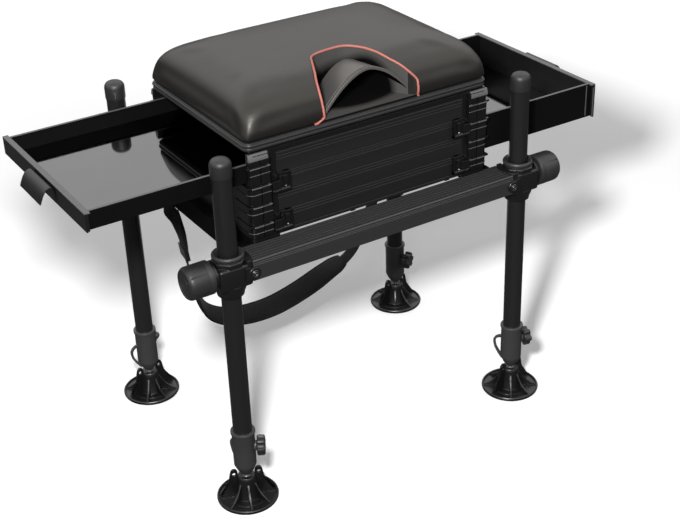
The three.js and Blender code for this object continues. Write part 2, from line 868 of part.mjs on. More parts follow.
// Short tabs tie the floor to the corner posts under the panel ends.
function floorTabs(floor) {
  const tabs = [];
  for (const sx of [-1, 1]) {
    for (const sy of [-1, 1]) {
      const tab = block(
        [halfWidth - postWidth + weld, halfWidth - postThick],
        [-halfDepth + postThick / 2, -bayHalfDepth + postThick], [floor, floor + moduleFloor],
      );
      tabs.push(mirrored(tab, sx, sy));
    }
  }
  return tabs;
}

function supportPads() {
  const pads = [];
  const places = [
    [-boxWidth / 12, padWidth], [boxWidth / 10, widePadWidth], [boxWidth / 3, padWidth],
  ];
  for (const [x, width] of places) {
    for (const sy of [-1, 1]) {
      const y0 = -bayHalfDepth;
      const pad = block(
        [x - width / 2, x + width / 2], [y0, y0 + padDepth], [boxBottom, panelBottom + weld],
      );
      pads.push(mirrored(pad, 1, sy));
    }
  }
  return pads;
}

function topFrame() {
  const inner = halfWidth - postWidth + weld;
  const low = boxTop - topFrameTall;
  const bars = [-1, 1].map((sy) => mirrored(
    block([-inner, inner], [-halfDepth, -halfDepth + topFrameDepth], [low, boxTop]), 1, sy,
  ));
  const tabs = [];
  for (const sx of [-1, 1]) {
    for (const sy of [-1, 1]) {
      const tab = block(
        [halfWidth - capTabWidth, halfWidth - postCorner],
        [-halfDepth - ridgeProud, -halfDepth + weld], [boxTop - capTabTall, boxTop - ridgeProud],
      );
      tabs.push(mirrored(tab, sx, sy));
    }
  }
  return [...bars, ...tabs];
}

function ridgesBetween(bottom, top) {
  const heights = [];
  const first = panelBottom + lowestRidge;
  for (let height = first; height < boxTop - capTabTall; height += ridgePitch) {
    if (height > bottom + ridgeTall && height < top - ridgeTall) heights.push(height);
  }
  return heights;
}

function buildModules() {
  const baseTop = boxBottom + baseTall;
  const drawerTop = drawerBayBottom + drawerBayTall;
  const base = moduleGeometry({
    bottom: boxBottom, top: baseTop, floor: panelBottom, closed: [-1, 1],
    ridges: ridgesBetween(boxBottom, baseTop), frontExtras: [latchBracket(lowerPivot)],
  });
  const pads = joined(...supportPads().map((pad) => pad.translate(0, -boxForward, 0)));
  place('base_module', toGeometry(toSolid(base).add(toSolid(pads))), blackPlastic());
  place('drawer_module', moduleGeometry({
    bottom: drawerBayBottom, top: drawerTop, floor: drawerBayBottom, closed: [-1],
    ridges: ridgesBetween(drawerBayBottom, drawerTop),
    frontExtras: [latchBracket(upperPivot), keeper(lowerPivot + keeperRise)],
  }), blackPlastic());
  const top = moduleGeometry({
    bottom: topBottom, top: boxTop, floor: topBottom, closed: [1],
    ridges: ridgesBetween(topBottom, boxTop), frontExtras: [keeper(upperPivot + keeperRise)],
  });
  const frame = topFrame().map((piece) => piece.translate(0, -boxForward, 0));
  place('top_module', joined(top, ...frame), blackPlastic());
}

// Panels: grooved strips between the corner posts

function panelGeometry(bottom, top, pairs) {
  const face = -halfDepth;
  const back = face + panelThick;
  const outline = [[back, bottom], [back, top], [face, top]];
  for (let pair = pairs; pair >= 1; pair -= 1) {
    const middle = bottom + ((top - bottom) * pair) / (pairs + 1);
    for (const side of [1, -1]) {
      const centre = middle + (side * panelGroovePitch) / 2;
      const half = panelGrooveWidth / 2;
      outline.push([face, centre + half], [face + panelGrooveDepth, centre + half]);
      outline.push([face + panelGrooveDepth, centre - half], [face, centre - half]);
    }
  }
  outline.push([face, bottom]);
  const end = halfWidth - postWidth - fit;
  return slabAlongX(outline, -end, end);
}

function buildPanels() {
  const rows = [
    ['base', panelBottom, boxBottom + baseTall, 1],
    ['drawer', drawerBayBottom, drawerBayBottom + drawerBayTall, 2],
    ['top', topBottom, boxTop - topFrameTall - fit, 1],
  ];
  for (const [name, bottom, top, pairs] of rows) {
    const panel = panelGeometry(bottom, top, pairs);
    place(`${name}_front_panel`, panel.clone(), panelAluminium()).position.y = -boxForward;
    place(`${name}_rear_panel`, mirrored(panel, 1, -1), panelAluminium()).position.y = -boxForward;
  }
}

// Latches: a thick lever that turns on a pin at its foot and closes over a keeper

function latchGeometry(pivot) {
  const middle = latchEarMiddle;
  const half = latchThick / 2;
  const pivotY = -halfDepth - half - fit;
  const left = middle - latchInset;
  const right = left + latchWidth;
  const top = pivot + latchTall - latchThick / 2;
  const lever = block([left, right], [pivotY - half, pivotY + half], [pivot, top]);
  const foot = rod('x', half, [left, right], [pivotY, pivot], smallSegments);
  const notchHalf = latchEarWidth / 2 + fit;
  const notchTop = pivot + half + fit + fit;
  const notch = block(
    [middle - notchHalf, middle + notchHalf], [pivotY - latchThick, pivotY + latchThick],
    [pivot - latchThick, notchTop + half],
  );
  const windowHalf = keeperWidth / 2 + slideFit;
  const windowRise = keeperTall / 2 + slideFit * 2;
  const window = block(
    [middle - windowHalf, middle + windowHalf], [pivotY - latchThick, pivotY + latchThick],
    [pivot + keeperRise - windowRise, pivot + keeperRise + windowRise],
  );
  const pin = rod('x', latchPinRadius, [left + weld, right - weld], [pivotY, pivot], smallSegments);
  return joined(cutFrom(joined(lever, foot), notch, window), pin);
}

function buildLatches() {
  for (const [side, sx] of [['left', -1], ['right', 1]]) {
    for (const [level, pivot] of [['upper', upperPivot], ['lower', lowerPivot]]) {
      const latch = mirrored(latchGeometry(pivot), sx, 1);
      place(`latch_${level}_${side}`, latch, blackPlastic()).position.y = -boxForward;
    }
  }
}

// Side tray and side drawer: a folded box open at its outer end, closed by an end plate with a pull

function boxTrayGeometry(outerEnd, bottom, tall) {
  const inner = outerEnd - trayLength;
  const half = trayHalfDepth;
  const whole = block([inner, outerEnd], [-half, half], [bottom, bottom + tall]);
  const hollow = block(
    [inner + trayWall, outerEnd + cutOverrun], [-half + trayWall, half - trayWall],
    [bottom + trayWall, bottom + tall - trayWall],
  );
  const mouth = block(
    [inner + trayRim, outerEnd + cutOverrun], [-half + trayRim, half - trayRim],
    [bottom + trayWall, bottom + tall + cutOverrun],
  );
  return cutFrom(whole, hollow, mouth);
}

// The pull in section: share of its reach, and share of its height.
const pullShares = [
  [-0.06, 0.25], [0.12, 0.62], [0.34, 0.93], [0.58, 1], [0.76, 0.72], [0.9, 0.35], [1, 0],
];

function endPlateGeometry(outerFace, bottom, tall) {
  const inner = outerFace - endPlateThick;
  const half = trayHalfDepth + endPlateOverhang;
  const top = bottom + tall;
  const plate = block([inner, outerFace], [-half, half], [bottom, top]);
  const rimHalf = trayHalfDepth - trayRim - fit;
  const rim = block(
    [outerFace - endPlateRim, inner + weld], [-rimHalf, rimHalf], [top - trayWall, top],
  );
  const line = pullShares.map(([out, up]) => [
    outerFace + out * pullReach, top - pullBelowRim - pullTall * (1 - up),
  ]);
  const pull = slabAlongY(stripOutline(line, pullThick), -pullWidth / 2, pullWidth / 2);
  return joined(plate, rim, pull);
}

function buildTrays() {
  const rows = [
    ['side_tray', -1, trayOut, topBottom, trayTall],
    ['side_drawer', 1, drawerOut, drawerBayBottom, drawerTall],
  ];
  for (const [name, sx, out, level, tall] of rows) {
    const bottom = level + moduleFloor + fit;
    const face = halfWidth + out;
    const box = boxTrayGeometry(face - endPlateThick - fit, bottom, tall);
    place(name, mirrored(box, sx, 1), glossyTray()).position.y = -boxForward;
    const plate = mirrored(endPlateGeometry(face, bottom, tall), sx, 1);
    place(`${name}_end`, plate, blackPlastic()).position.y = -boxForward;
  }
}

// Lid board with its beaded edge

function lidBoardGeometry() {
  const halfX = halfWidth + lidOverhang;
  const halfY = halfDepth;
  const levels = [
    [lidStep, 0], [lidStep, lidBeadDrop - lidOverhang], [0, lidBeadDrop],
    [0, lidTall - lidOverhang], [lidOverhang, lidTall],
  ];
  return lofted(levels.map(([inset, rise]) => (
    roundedRing(halfX - inset, halfY - inset, cushionCorner - inset, lidBottom + rise, 0, -boxForward)
  )));
}

// Cushion: a crowned pad with drawn-in sides and a recess for the carry loop

const crownShares = [
  [0, 0], [-0.012, 0.12], [-0.011, 0.28], [0.002, 0.437], [0.023, 0.577], [0.068, 0.711], [0.136, 0.81],
  [0.257, 0.887], [0.429, 0.944], [0.679, 0.986], [1, 1],
];
const bulgeLevelCount = 2;

function crownAt(inset) {
  const share = inset / crownReach;
  for (let level = bulgeLevelCount; level + 1 < crownShares.length; level += 1) {
    const [a, low] = crownShares[level];
    const [b, high] = crownShares[level + 1];
    if (share <= b) return crownHeight * (low + ((high - low) * (share - a)) / (b - a));
  }
  return crownHeight;
}

function cushionBody() {
  const rings = crownShares.map(([insetShare, heightShare]) => {
    const inset = insetShare * crownReach;
    const spread = cushionCorner + (cushionCornerTop - cushionCorner) * Math.min(heightShare * 1.2, 1);
    const radius = Math.min(spread, cushionHalfY - inset - weld);
    const draw = sideDraw * Math.sin(Math.PI * Math.min(heightShare * 1.4, 1));
    const height = cushionBottom + heightShare * crownHeight;
    return roundedRing(cushionHalfX - inset, cushionHalfY - inset, radius, height, draw, -boxForward);
  });
  return lofted(rings);
}

// The recess outline in plan: share of its half width, and share of its depth from the front.
const recessShares = [
  [1, 0], [0.93, 0.1], [0.85, 0.26], [0.75, 0.46], [0.65, 0.68], [0.56, 0.86], [0.47, 0.96], [0.34, 1],
  [0, 1],
];
const cushionFront = -cushionHalfY - boxForward;

function recessOutline() {
  const right = recessShares.map(([across, back]) => [
    across * recessHalfWidth, cushionFront + back * recessDepth,
  ]);
  const left = right.slice(0, -1).reverse().map(([x, y]) => [-x, y]);
  return [...right, ...left];
}

function recessFloorAt(y) {
  return cushionBottom + recessFloor + (recessFloorRise * (y - cushionFront)) / recessDepth;
}

function recessCutter() {
  const outline = recessOutline();
  const mouth = cushionFront - crownReach;
  const points = [...outline, [-recessHalfWidth, mouth], [recessHalfWidth, mouth]];
  const cutter = upright(points, cushionBottom, cushionBottom + crownHeight + crownReach);
  const spot = cutter.attributes.position;
  for (let corner = 0; corner < spot.count; corner += 1) {
    const isFloor = spot.getZ(corner) < cushionBottom + weld;
    if (isFloor) spot.setZ(corner, recessFloorAt(spot.getY(corner)));
  }
  return cutter;
}

// Piping follows the recess edge over the crown and down the front.
function pipingPath() {
  const lift = pipingRadius + fit * 3;
  const points = recessOutline().filter(([, y]) => y > cushionFront + weld).map(([x, y]) => {
    const inset = y - cushionFront;
    const slope = (crownAt(inset + weld) - crownAt(inset)) / weld;
    const length = Math.hypot(1, slope);
    const rise = cushionBottom + crownAt(inset) + lift / length;
    return new THREE.Vector3(x, y - (lift * slope) / length, rise);
  });
  const face = cushionFront - lift + crownReach * crownShares[1][0];
  const steepTop = cushionBottom + crownAt(0);
  const foot = cushionBottom + pipingRadius + fit;
  const ends = [1, -1].map((side) => [
    new THREE.Vector3(side * recessHalfWidth, face, foot),
    new THREE.Vector3(side * recessHalfWidth, face, (foot + steepTop) / 2),
    new THREE.Vector3(side * recessHalfWidth * 0.985, face + fit, steepTop),
  ]);
  return new THREE.CatmullRomCurve3([...ends[0], ...points, ...ends[1].reverse()], false, 'centripetal');
}

function pipingGeometry() {
  const section = new THREE.Shape();
  for (let step = 0; step < 6; step += 1) {
    const angle = (step * Math.PI) / 3;
    const spot = [pipingRadius * Math.cos(angle), pipingRadius * Math.sin(angle)];
    if (step === 0) section.moveTo(...spot);
    else section.lineTo(...spot);
  }
  return new THREE.ExtrudeGeometry(section, { steps: pipingSteps, extrudePath: pipingPath() });
}

// Carry loop: an arched strap, wider across and higher at its front edge
const loopStationCount = 4;
const loopArcCount = 14;

function carryLoopGeometry() {
  const rings = [];
  for (let station = 0; station <= loopStationCount; station += 1) {
    const share = station / loopStationCount;
    const y = cushionFront + loopFront + share * loopWidth;
    const half = loopFrontHalf + (loopBackHalf - loopFrontHalf) * share;
    const rise = loopFrontRise + (loopBackRise - loopFrontRise) * share;
    const base = recessFloorAt(y) + fit;
    const arch = [];
    for (let step = 0; step <= loopArcCount; step += 1) {
      const across = (2 * step) / loopArcCount - 1;
      arch.push([across * half, base + rise * (1 - Math.abs(across) ** loopArchPower)]);
    }
    const outline = stripOutline(arch, loopStrapThick);
    rings.push(outline.map(([x, z]) => new THREE.Vector3(x, y, Math.max(z, base))));
  }
  return lofted(rings);
}

function buildLid() {
  place('lid_base', lidBoardGeometry(), blackPlastic());
  place('seat_cushion', cutFrom(cushionBody(), recessCutter()), leatherette());
  place('carry_loop', carryLoopGeometry(), leatherette());
  place('cushion_piping', pipingGeometry(), coralPiping());
}

// Lid hinge: two leaves with alternating knuckles on one pin

const hingeY = halfDepth - boxForward + hingeStandOff;
const hingeLength = boxWidth - 2 * (capTabWidth + hingeFromTab);
const hingeZ = lidBottom;

function hingeLeaf(side) {
  const pitch = hingeLength / hingeKnuckleCount;
  const leafY = [hingeY - hingeStandOff + fit, hingeY - hingeStandOff + fit + hingeLeafThick];
  const start = hingeZ + side * (hingeKnuckleRadius - weld);
  const stop = hingeZ + side * hingeLeafTall;
  const span = [Math.min(start, stop), Math.max(start, stop)];
  const pieces = [];
  const gaps = [];
  for (let knuckle = 0; knuckle < hingeKnuckleCount; knuckle += 1) {
    const left = -hingeLength / 2 + knuckle * pitch;
    const mine = (knuckle % 2 === 0) === (side < 0);
    if (mine) {
      const width = [left + fit, left + pitch - fit];
      pieces.push(rod('x', hingeKnuckleRadius, width, [hingeY, hingeZ], smallSegments));
      pieces.push(block(width, leafY, [
        Math.min(hingeZ, start + side * weld), Math.max(hingeZ, start + side * weld),
      ]));
    } else {
      gaps.push(block(
        [left - fit, left + pitch + fit], [leafY[0] - cutOverrun, hingeY + hingeLeafTall],
        [hingeZ - hingeKnuckleRadius - fit, hingeZ + hingeKnuckleRadius + fit],
      ));
    }
  }
  const leaf = block([-hingeLength / 2 + fit, hingeLength / 2 - fit], leafY, span);
  const bore = boreFor('x', hingePinRadius, [-hingeLength, hingeLength], [hingeY, hingeZ]);
  return cutFrom(joined(cutFrom(leaf, ...gaps), ...pieces), bore);
}

function buildHinge() {
  place('hinge_fixed_leaf', hingeLeaf(-1), hingeSteel());
  place('hinge_moving_leaf', hingeLeaf(1), hingeSteel());
  const half = hingeLength / 2;
  const pin = rod('x', hingePinRadius, [-half, half], [hingeY, hingeZ], smallSegments);
  place('hinge_pin', pin, hingeSteel());
}

// Shoulder strap: webbing looped round both side bars, a padded stretch and an adjuster.
// Its route is in shares of the distance to the bars and of the drop below them.
const strapRouteShares = [
  [-1.042, 0], [-1.044, 0.049], [-1.014, 0.153], [-0.988, 0.261], [-0.968, 0.369], [-0.949, 0.493],
  [-0.931, 0.624], [-0.9, 0.748], [-0.838, 0.856], [-0.704, 0.941], [-0.519, 0.987], [-0.356, 1],
  [-0.213, 0.995], [-0.069, 0.971], [0.088, 0.935], [0.287, 0.875], [0.463, 0.817], [0.565, 0.748],
  [0.653, 0.616], [0.81, 0.369], [0.949, 0.12], [1.003, 0],
];

// How far the band is turned about its own line, in degrees, at shares of its length.
const strapTwistShares = [
  [0, 0], [0.03, -55], [0.055, -14], [0.1, 8], [0.15, 8], [0.175, 24], [0.3, 22], [0.6, 18], [0.65, 8],
  [0.7, 0], [1, 0],
];

function strapCurve() {
  const points = strapRouteShares.map(([across, down]) => new THREE.Vector3(
    across * sideBarMiddle, strapY, railBottom - fit - webThick / 2 - down * strapDrop,
  ));
  return new THREE.CatmullRomCurve3(points, false, 'centripetal');
}

function strapTwistAt(share) {
  const last = strapTwistShares.findIndex(([place]) => place >= share);
  if (last < 1) return 0;
  const [from, low] = strapTwistShares[last - 1];
  const [to, high] = strapTwistShares[last];
  return THREE.MathUtils.degToRad(low + ((high - low) * (share - from)) / (to - from));
}

// The strap's place, and its directions along, across and out of its face, at a share of its length.
function strapFrame(share) {
  const curve = strapCurve();
  const along = curve.getTangentAt(share);
  const out = new THREE.Vector3(-along.z, 0, along.x).normalize();
  const turn = new THREE.Quaternion().setFromAxisAngle(along, strapTwistAt(share));
  const across = new THREE.Vector3(0, 1, 0).applyQuaternion(turn);
  return { spot: curve.getPointAt(share), along, across, out: out.applyQuaternion(turn) };
}

// A band along part of the strap. Its section lists places across and out of the strap's line.
function bandAlongStrap([first, last], section) {
  const rings = [];
  for (let step = Math.round(first * strapSteps); step <= last * strapSteps; step += 1) {
    const { spot, across, out } = strapFrame(step / strapSteps);
    rings.push(section.map(([wide, rise]) => (
      spot.clone().addScaledVector(across, wide).addScaledVector(out, rise)
    )));
  }
  return lofted(rings);
}

function barWrap(side) {
  const inner = sideBarWidth / 2 + fit;
  const outer = inner + webThick;
  const middle = side * sideBarMiddle;
  const depth = [strapY - webWidth / 2, strapY + webWidth / 2];
  const whole = block(
    [middle - outer, middle + outer], depth, [railBottom - fit - webThick, railTop + fit + webThick],
  );
  const hollow = block(
    [middle - inner, middle + inner], [depth[0] - cutOverrun, depth[1] + cutOverrun],
    [railBottom - fit, railTop + fit],
  );
  return cutFrom(whole, hollow);
}

function adjusterGeometry() {
  const gap = webThick + fit * 4;
  const frame = block(
    [-adjusterLength / 2, adjusterLength / 2], [-adjusterWidth / 2, adjusterWidth / 2],
    [-adjusterThick / 2, adjusterThick / 2],
  );
  const slot = block(
    [-adjusterLength, adjusterLength], [-webWidth / 2 - fit, webWidth / 2 + fit], [-gap / 2, gap / 2],
  );
  const { spot, along, across, out } = strapFrame(adjusterShare);
  const turn = new THREE.Matrix4().makeBasis(along, across, out).setPosition(spot);
  return cutFrom(frame, slot).applyMatrix4(turn);
}

function buildStrap() {
  const web = webWidth / 2;
  const half = webThick / 2;
  const band = bandAlongStrap([0, 1], [[-web, -half], [web, -half], [web, half], [-web, half]]);
  place('strap_webbing', joined(band, barWrap(-1), barWrap(1)), blackWebbing());
  const wide = strapPadWidth / 2;
  const low = half + fit;
  const high = low + strapPadThick;
  const padSection = [[wide, low], [web, low], [-web, low], [-wide, low], [-wide, high], [wide, high]];
  place('strap_pad', bandAlongStrap(padShares, padSection), blackWebbing());
  place('strap_adjuster', adjusterGeometry(), blackPlastic());
}

buildRails();
buildSideBars();
buildLegs();
buildModules();
buildPanels();
buildLatches();
buildTrays();
buildLid();
buildHinge();
buildStrap();
root.position.x = -outlineMiddle;

export default root;
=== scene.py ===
"""Fishing seat box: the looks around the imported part. Lengths are in millimetres until a piece is made."""

import math

import bmesh
import bpy
import numpy as np
from mathutils import Matrix, Vector
from mathutils.bvhtree import BVHTree


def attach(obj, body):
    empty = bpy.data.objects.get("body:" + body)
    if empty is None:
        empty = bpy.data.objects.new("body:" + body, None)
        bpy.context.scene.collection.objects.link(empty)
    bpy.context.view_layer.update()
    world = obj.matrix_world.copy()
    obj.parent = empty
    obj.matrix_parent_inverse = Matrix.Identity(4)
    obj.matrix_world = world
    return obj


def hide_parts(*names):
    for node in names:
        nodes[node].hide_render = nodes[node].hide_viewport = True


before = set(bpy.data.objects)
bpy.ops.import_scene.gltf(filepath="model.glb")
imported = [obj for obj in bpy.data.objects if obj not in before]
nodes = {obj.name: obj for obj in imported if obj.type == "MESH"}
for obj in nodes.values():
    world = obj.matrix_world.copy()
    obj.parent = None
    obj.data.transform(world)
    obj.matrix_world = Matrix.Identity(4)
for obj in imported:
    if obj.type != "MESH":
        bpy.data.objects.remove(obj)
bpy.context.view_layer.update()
scene = bpy.context.scene

MM = 0.001
SHIFT = 11.0  # from these places to the part's own middle, in X
LEG_X, LEG_Y = 265.0, 178.5
BOX_X, BOX_Y, BOX_MID = 213.0, 156.0, -3.0
RAIL_LOW, RAIL_TOP, RAIL_MID = 397.0, 430.5, 413.75
RAIL_HALF_WIDTH, RAIL_HALF_LENGTH, RAIL_GROOVES = 23.8, 237.6, 6
BALL_HEIGHT = 36  # the middle of each foot's ball over the ground

# Corner, its sides in X and Y, and how far its sleeve and its foot are turned
CORNERS = [
    ("front_left", -1, -1, -31, -20),
    ("front_right", 1, -1, -10, 10),
    ("rear_left", -1, 1, 50, 10),
    ("rear_right", 1, 1, -60, 10),
]


def put(name, data):
    obj = bpy.data.objects.new(name, data)
    scene.collection.objects.link(obj)
    return obj


# Camera, as fitted to the photograph

YAW, PITCH, ROLL = -31.35, 29.35, -2.14
AIM_HEIGHT, DISTANCE, ASIDE, ABOVE = 300, 2215.22, 28.09, -33.23
SENSOR, FOCAL_PIXELS, PHOTO_PIXELS = 36, 1322.94, 680


def set_camera():
    yaw, pitch, roll = (math.radians(a) for a in (YAW, PITCH, ROLL))
    back = Vector((math.sin(yaw) * math.cos(pitch), -math.cos(yaw) * math.cos(pitch), math.sin(pitch)))
    right = Vector((math.cos(yaw), math.sin(yaw), 0))
    up = back.cross(right)
    side = math.cos(roll) * right + math.sin(roll) * up
    top = -math.sin(roll) * right + math.cos(roll) * up
    spot = Vector((SHIFT, 0, AIM_HEIGHT)) + back * DISTANCE + side * ASIDE + top * ABOVE
    data = bpy.data.cameras.new("photo_camera")
    data.sensor_width = SENSOR
    data.lens = SENSOR * FOCAL_PIXELS / PHOTO_PIXELS
    camera = put("photo_camera", data)
    turn = Matrix((side, top, back)).transposed().to_4x4()
    camera.matrix_world = Matrix.Translation(spot * MM) @ turn
    data.clip_start, data.clip_end = 0.05, 50
    scene.camera = camera


set_camera()


# Shader maths

class Signal:
    """A socket of a material that can be added, multiplied and so on."""

    def __init__(self, finish, socket):
        self.finish, self.socket = finish, socket

    def sum(self, operation, *values):
        return self.finish.node("ShaderNodeMath", {"operation": operation}, dict(enumerate(values)))

    def __add__(self, other):
        return self.sum("ADD", self, other)

    def __mul__(self, other):
        return self.sum("MULTIPLY", self, other)

    def __sub__(self, other):
        return self.sum("SUBTRACT", self, other)

    def sine(self):
        return self.sum("SINE", self)

    def size(self):
        return self.sum("ABSOLUTE", self)


class Finish:
    """A material with its one Principled shader and the nodes that vary it."""

    def __init__(self, name, colour, roughness, metallic=0.0, **fixed):
        self.material = bpy.data.materials.new(name)
        self.material.use_nodes = True
        self.tree = self.material.node_tree
        self.shader = self.tree.nodes["Principled BSDF"]
        self.vary(Base_Color=(*colour, 1), Roughness=roughness, Metallic=metallic, **fixed)

    def node(self, kind, settings=None, sockets=None, out=0):
        made = self.tree.nodes.new(kind)
        for key, value in (settings or {}).items():
            setattr(made, key, value)
        for key, value in (sockets or {}).items():
            self.feed(made.inputs[key], value)
        return Signal(self, made.outputs[out])

    def feed(self, socket, value):
        if isinstance(value, Signal):
            self.tree.links.new(value.socket, socket)
        else:
            socket.default_value = value

    def vary(self, **values):
        for key, value in values.items():
            self.feed(self.shader.inputs[key.replace("_", " ")], value)
        return self.material

    def place(self, scale=(1, 1, 1), turn=(0, 0, 0)):
        spot = self.node("ShaderNodeTexCoord", out="Object")
        return self.node("ShaderNodeMapping", {}, {"Vector": spot, "Scale": scale, "Rotation": turn})

    def part_of(self, vector, axis):
        return self.node("ShaderNodeSeparateXYZ", {}, {0: vector}, axis)

    def along_and_across(self):
        """Where a point lies on a cord or a band, in metres along it and across or round it."""
        spot = self.node("ShaderNodeTexCoord", out="UV")
        return self.part_of(spot, "X"), self.part_of(spot, "Y")

    def span(self, value, low, high, to_low=0.0, to_high=1.0, curve="LINEAR"):
        """A value's share of the way from low to high, stopped at both ends."""
        ends = {"From Min": low, "From Max": high, "To Min": to_low, "To Max": to_high}
        return self.node("ShaderNodeMapRange", {"interpolation_type": curve}, {"Value": value, **ends})

    def vector(self, operation, *values, out=0):
        return self.node("ShaderNodeVectorMath", {"operation": operation}, dict(enumerate(values)), out)

    def noise(self, scale, detail, rough=0.5, spot=None):
        sockets = {"Vector": spot or self.place(), "Scale": scale, "Detail": detail, "Roughness": rough}
        return self.node("ShaderNodeTexNoise", {}, sockets)

    def cells(self, scale, spot=None):
        return self.node("ShaderNodeTexVoronoi", {}, {"Vector": spot or self.place(), "Scale": scale})

    def mix(self, amount, first, second):
        sockets = {0: amount, 6: (*first, 1), 7: (*second, 1)}
        return self.node("ShaderNodeMix", {"data_type": "RGBA"}, sockets, 2)

    def bump(self, height, distance, strength, under=None):
        sockets = {"Height": height, "Distance": distance, "Strength": strength}
        if under:
            sockets["Normal"] = under
        return self.node("ShaderNodeBump", {}, sockets)

    def rounded(self, radius):
        return self.node("ShaderNodeBevel", {"samples": 4}, {"Radius": radius})


def grey(level):
    return (level, level, level)


def tube_finish():
    made = Finish("black_tube", grey(0.014), 0.36, 0.1)
    streaks = made.noise(60, 4, 0.6, made.place((1, 1, 0.05)))
    grain = made.noise(1600, 2)
    return made.vary(
        Base_Color=made.mix(streaks, grey(0.009), grey(0.019)),
        Roughness=streaks * 0.12 + 0.24,
        Normal=made.bump(grain, 0.00008, 0.5),
    )


def plastic_finish(name, level, rough, grain_size=1500, edge=0.0006, shine=0.5):
    made = Finish(name, grey(level), rough, Specular_IOR_Level=shine)
    grain = made.noise(grain_size, 3, 0.6)
    patches = made.noise(18, 3)
    return made.vary(
        Base_Color=made.mix(patches, grey(level * 0.85), grey(level * 1.2)),
        Roughness=patches * 0.12 + (rough - 0.05),
        Normal=made.bump(grain, 0.00012, 0.6, made.rounded(edge)),
    )


def rail_finish():
    made = Finish("ribbed_rail", grey(0.065), 0.36, 0.6)
    brushed = made.noise(40, 5, 0.6, made.place((0.03, 1, 1)))
    fine = made.noise(900, 2, 0.5, made.place((0.02, 1, 1)))
    return made.vary(
        Base_Color=made.mix(brushed, grey(0.05), grey(0.08)),
        Roughness=fine * 0.18 + 0.28,
        Normal=made.bump(fine, 0.00006, 0.6, made.rounded(0.0005)),
    )


def panel_finish():
    made = Finish("panel_metal", grey(0.014), 0.36, 0.2)
    brushed = made.noise(60, 5, 0.6, made.place((0.03, 1, 1)))
    return made.vary(
        Base_Color=made.mix(brushed, grey(0.011), grey(0.019)),
        Roughness=brushed * 0.16 + 0.28,
        Normal=made.bump(brushed, 0.00005, 0.5, made.rounded(0.0004)),
    )


def tray_finish():
    made = Finish("glossy_tray", grey(0.005), 0.3, Specular_IOR_Level=0.08)
    haze = made.noise(14, 4)
    return made.vary(
        Base_Color=made.mix(haze, grey(0.004), grey(0.006)),
        Roughness=haze * 0.12 + 0.24,
        Normal=made.rounded(0.0006),
    )


def tray_floor_finish():
    made = Finish("tray_floor", grey(0.14), 0.05, 1.0)
    haze = made.noise(9, 3)
    return made.vary(Base_Color=made.mix(haze, grey(0.13), grey(0.15)), Roughness=haze * 0.05 + 0.03)


def leather_finish(name="leatherette", level=0.009, tint=(1.06, 1.0, 0.95)):
    colour = tuple(level * t for t in tint)
    made = Finish(name, colour, 0.4, Specular_IOR_Level=0.6, Specular_Tint=(1.0, 0.95, 0.87, 1))
    pores = made.cells(1100)
    creases = made.cells(420, made.place((1, 1, 0.8)))
    soft = made.noise(7, 3)
    height = pores * 0.6 + creases * 0.5
    return made.vary(
        Base_Color=made.mix(soft, tuple(0.82 * c for c in colour), tuple(1.22 * c for c in colour)),
        Roughness=soft * 0.1 + pores * 0.08 + 0.33,
        Normal=made.bump(height, 0.00016, 0.35),
    )


def recess_paint_finish():
    """The recess colour: lighter than the seat as painted light, with painted shade going near-black under
    the carry loop where no light gets in.
    """
    made = Finish("recess_painted_light_and_shade", grey(0.04), 0.5, Specular_IOR_Level=0.1)
    # Middle and reach of the painted shade under the loop, in metres.
    middle, reach = (0.011, -0.1, 0.598), (0.09, 0.047, 0.056)
    away = made.vector("SUBTRACT", made.node("ShaderNodeTexCoord", out="Object"), middle)
    away = made.vector("MULTIPLY", away, [1 / r for r in reach])
    lit = made.span(made.vector("LENGTH", away, out="Value"), 0.86, 1.08)
    return made.vary(
        Base_Color=made.mix(lit, grey(0.0006), (0.08, 0.077, 0.073)),
        Roughness=lit * -0.5 + 1.0,
    )


def piping_finish():
    """A braided cord: two strands that wind round it."""
    made = Finish("piping", (0.52, 0.16, 0.13), 0.55)
    along, around = made.along_and_across()
    twist = (along * 5200 + around * (4 * math.pi)).sine() * 0.5 + 0.5
    return made.vary(
        Base_Color=made.mix(twist, (0.46, 0.125, 0.1), (0.6, 0.21, 0.17)),
        Normal=made.bump(twist, 0.0001, 0.4),
    )


def webbing_finish(name="webbing", level=0.003, pitch=1400.0):
    made = Finish(name, grey(level), 0.72, Sheen_Weight=0.02, Sheen_Roughness=0.4, Specular_IOR_Level=0.3)
    along, across = made.along_and_across()
    weave = (along * pitch + across * (pitch * 0.9)).sine() * (across * (pitch * 1.1) - along * pitch).sine()
    height = weave * 0.5 + 0.5
    return made.vary(
        Base_Color=made.mix(height, grey(level * 0.6), grey(level * 1.8)),
        Roughness=height * 0.2 + 0.6,
        Normal=made.bump(height, 0.0004, 0.8),
    )


def steel_finish(name="hinge_steel", level=0.12):
    made = Finish(name, grey(level), 0.32, 0.9)
    brushed = made.noise(50, 4, 0.6, made.place((0.05, 1, 1)))
    return made.vary(Roughness=brushed * 0.2 + 0.24, Normal=made.rounded(0.0004))


def thread_finish():
    made = Finish("stitch_thread", (0.05, 0.047, 0.045), 0.6)
    fuzz = made.noise(3000, 2)
    return made.vary(Base_Color=made.mix(fuzz, (0.03, 0.028, 0.027), (0.075, 0.07, 0.066)))


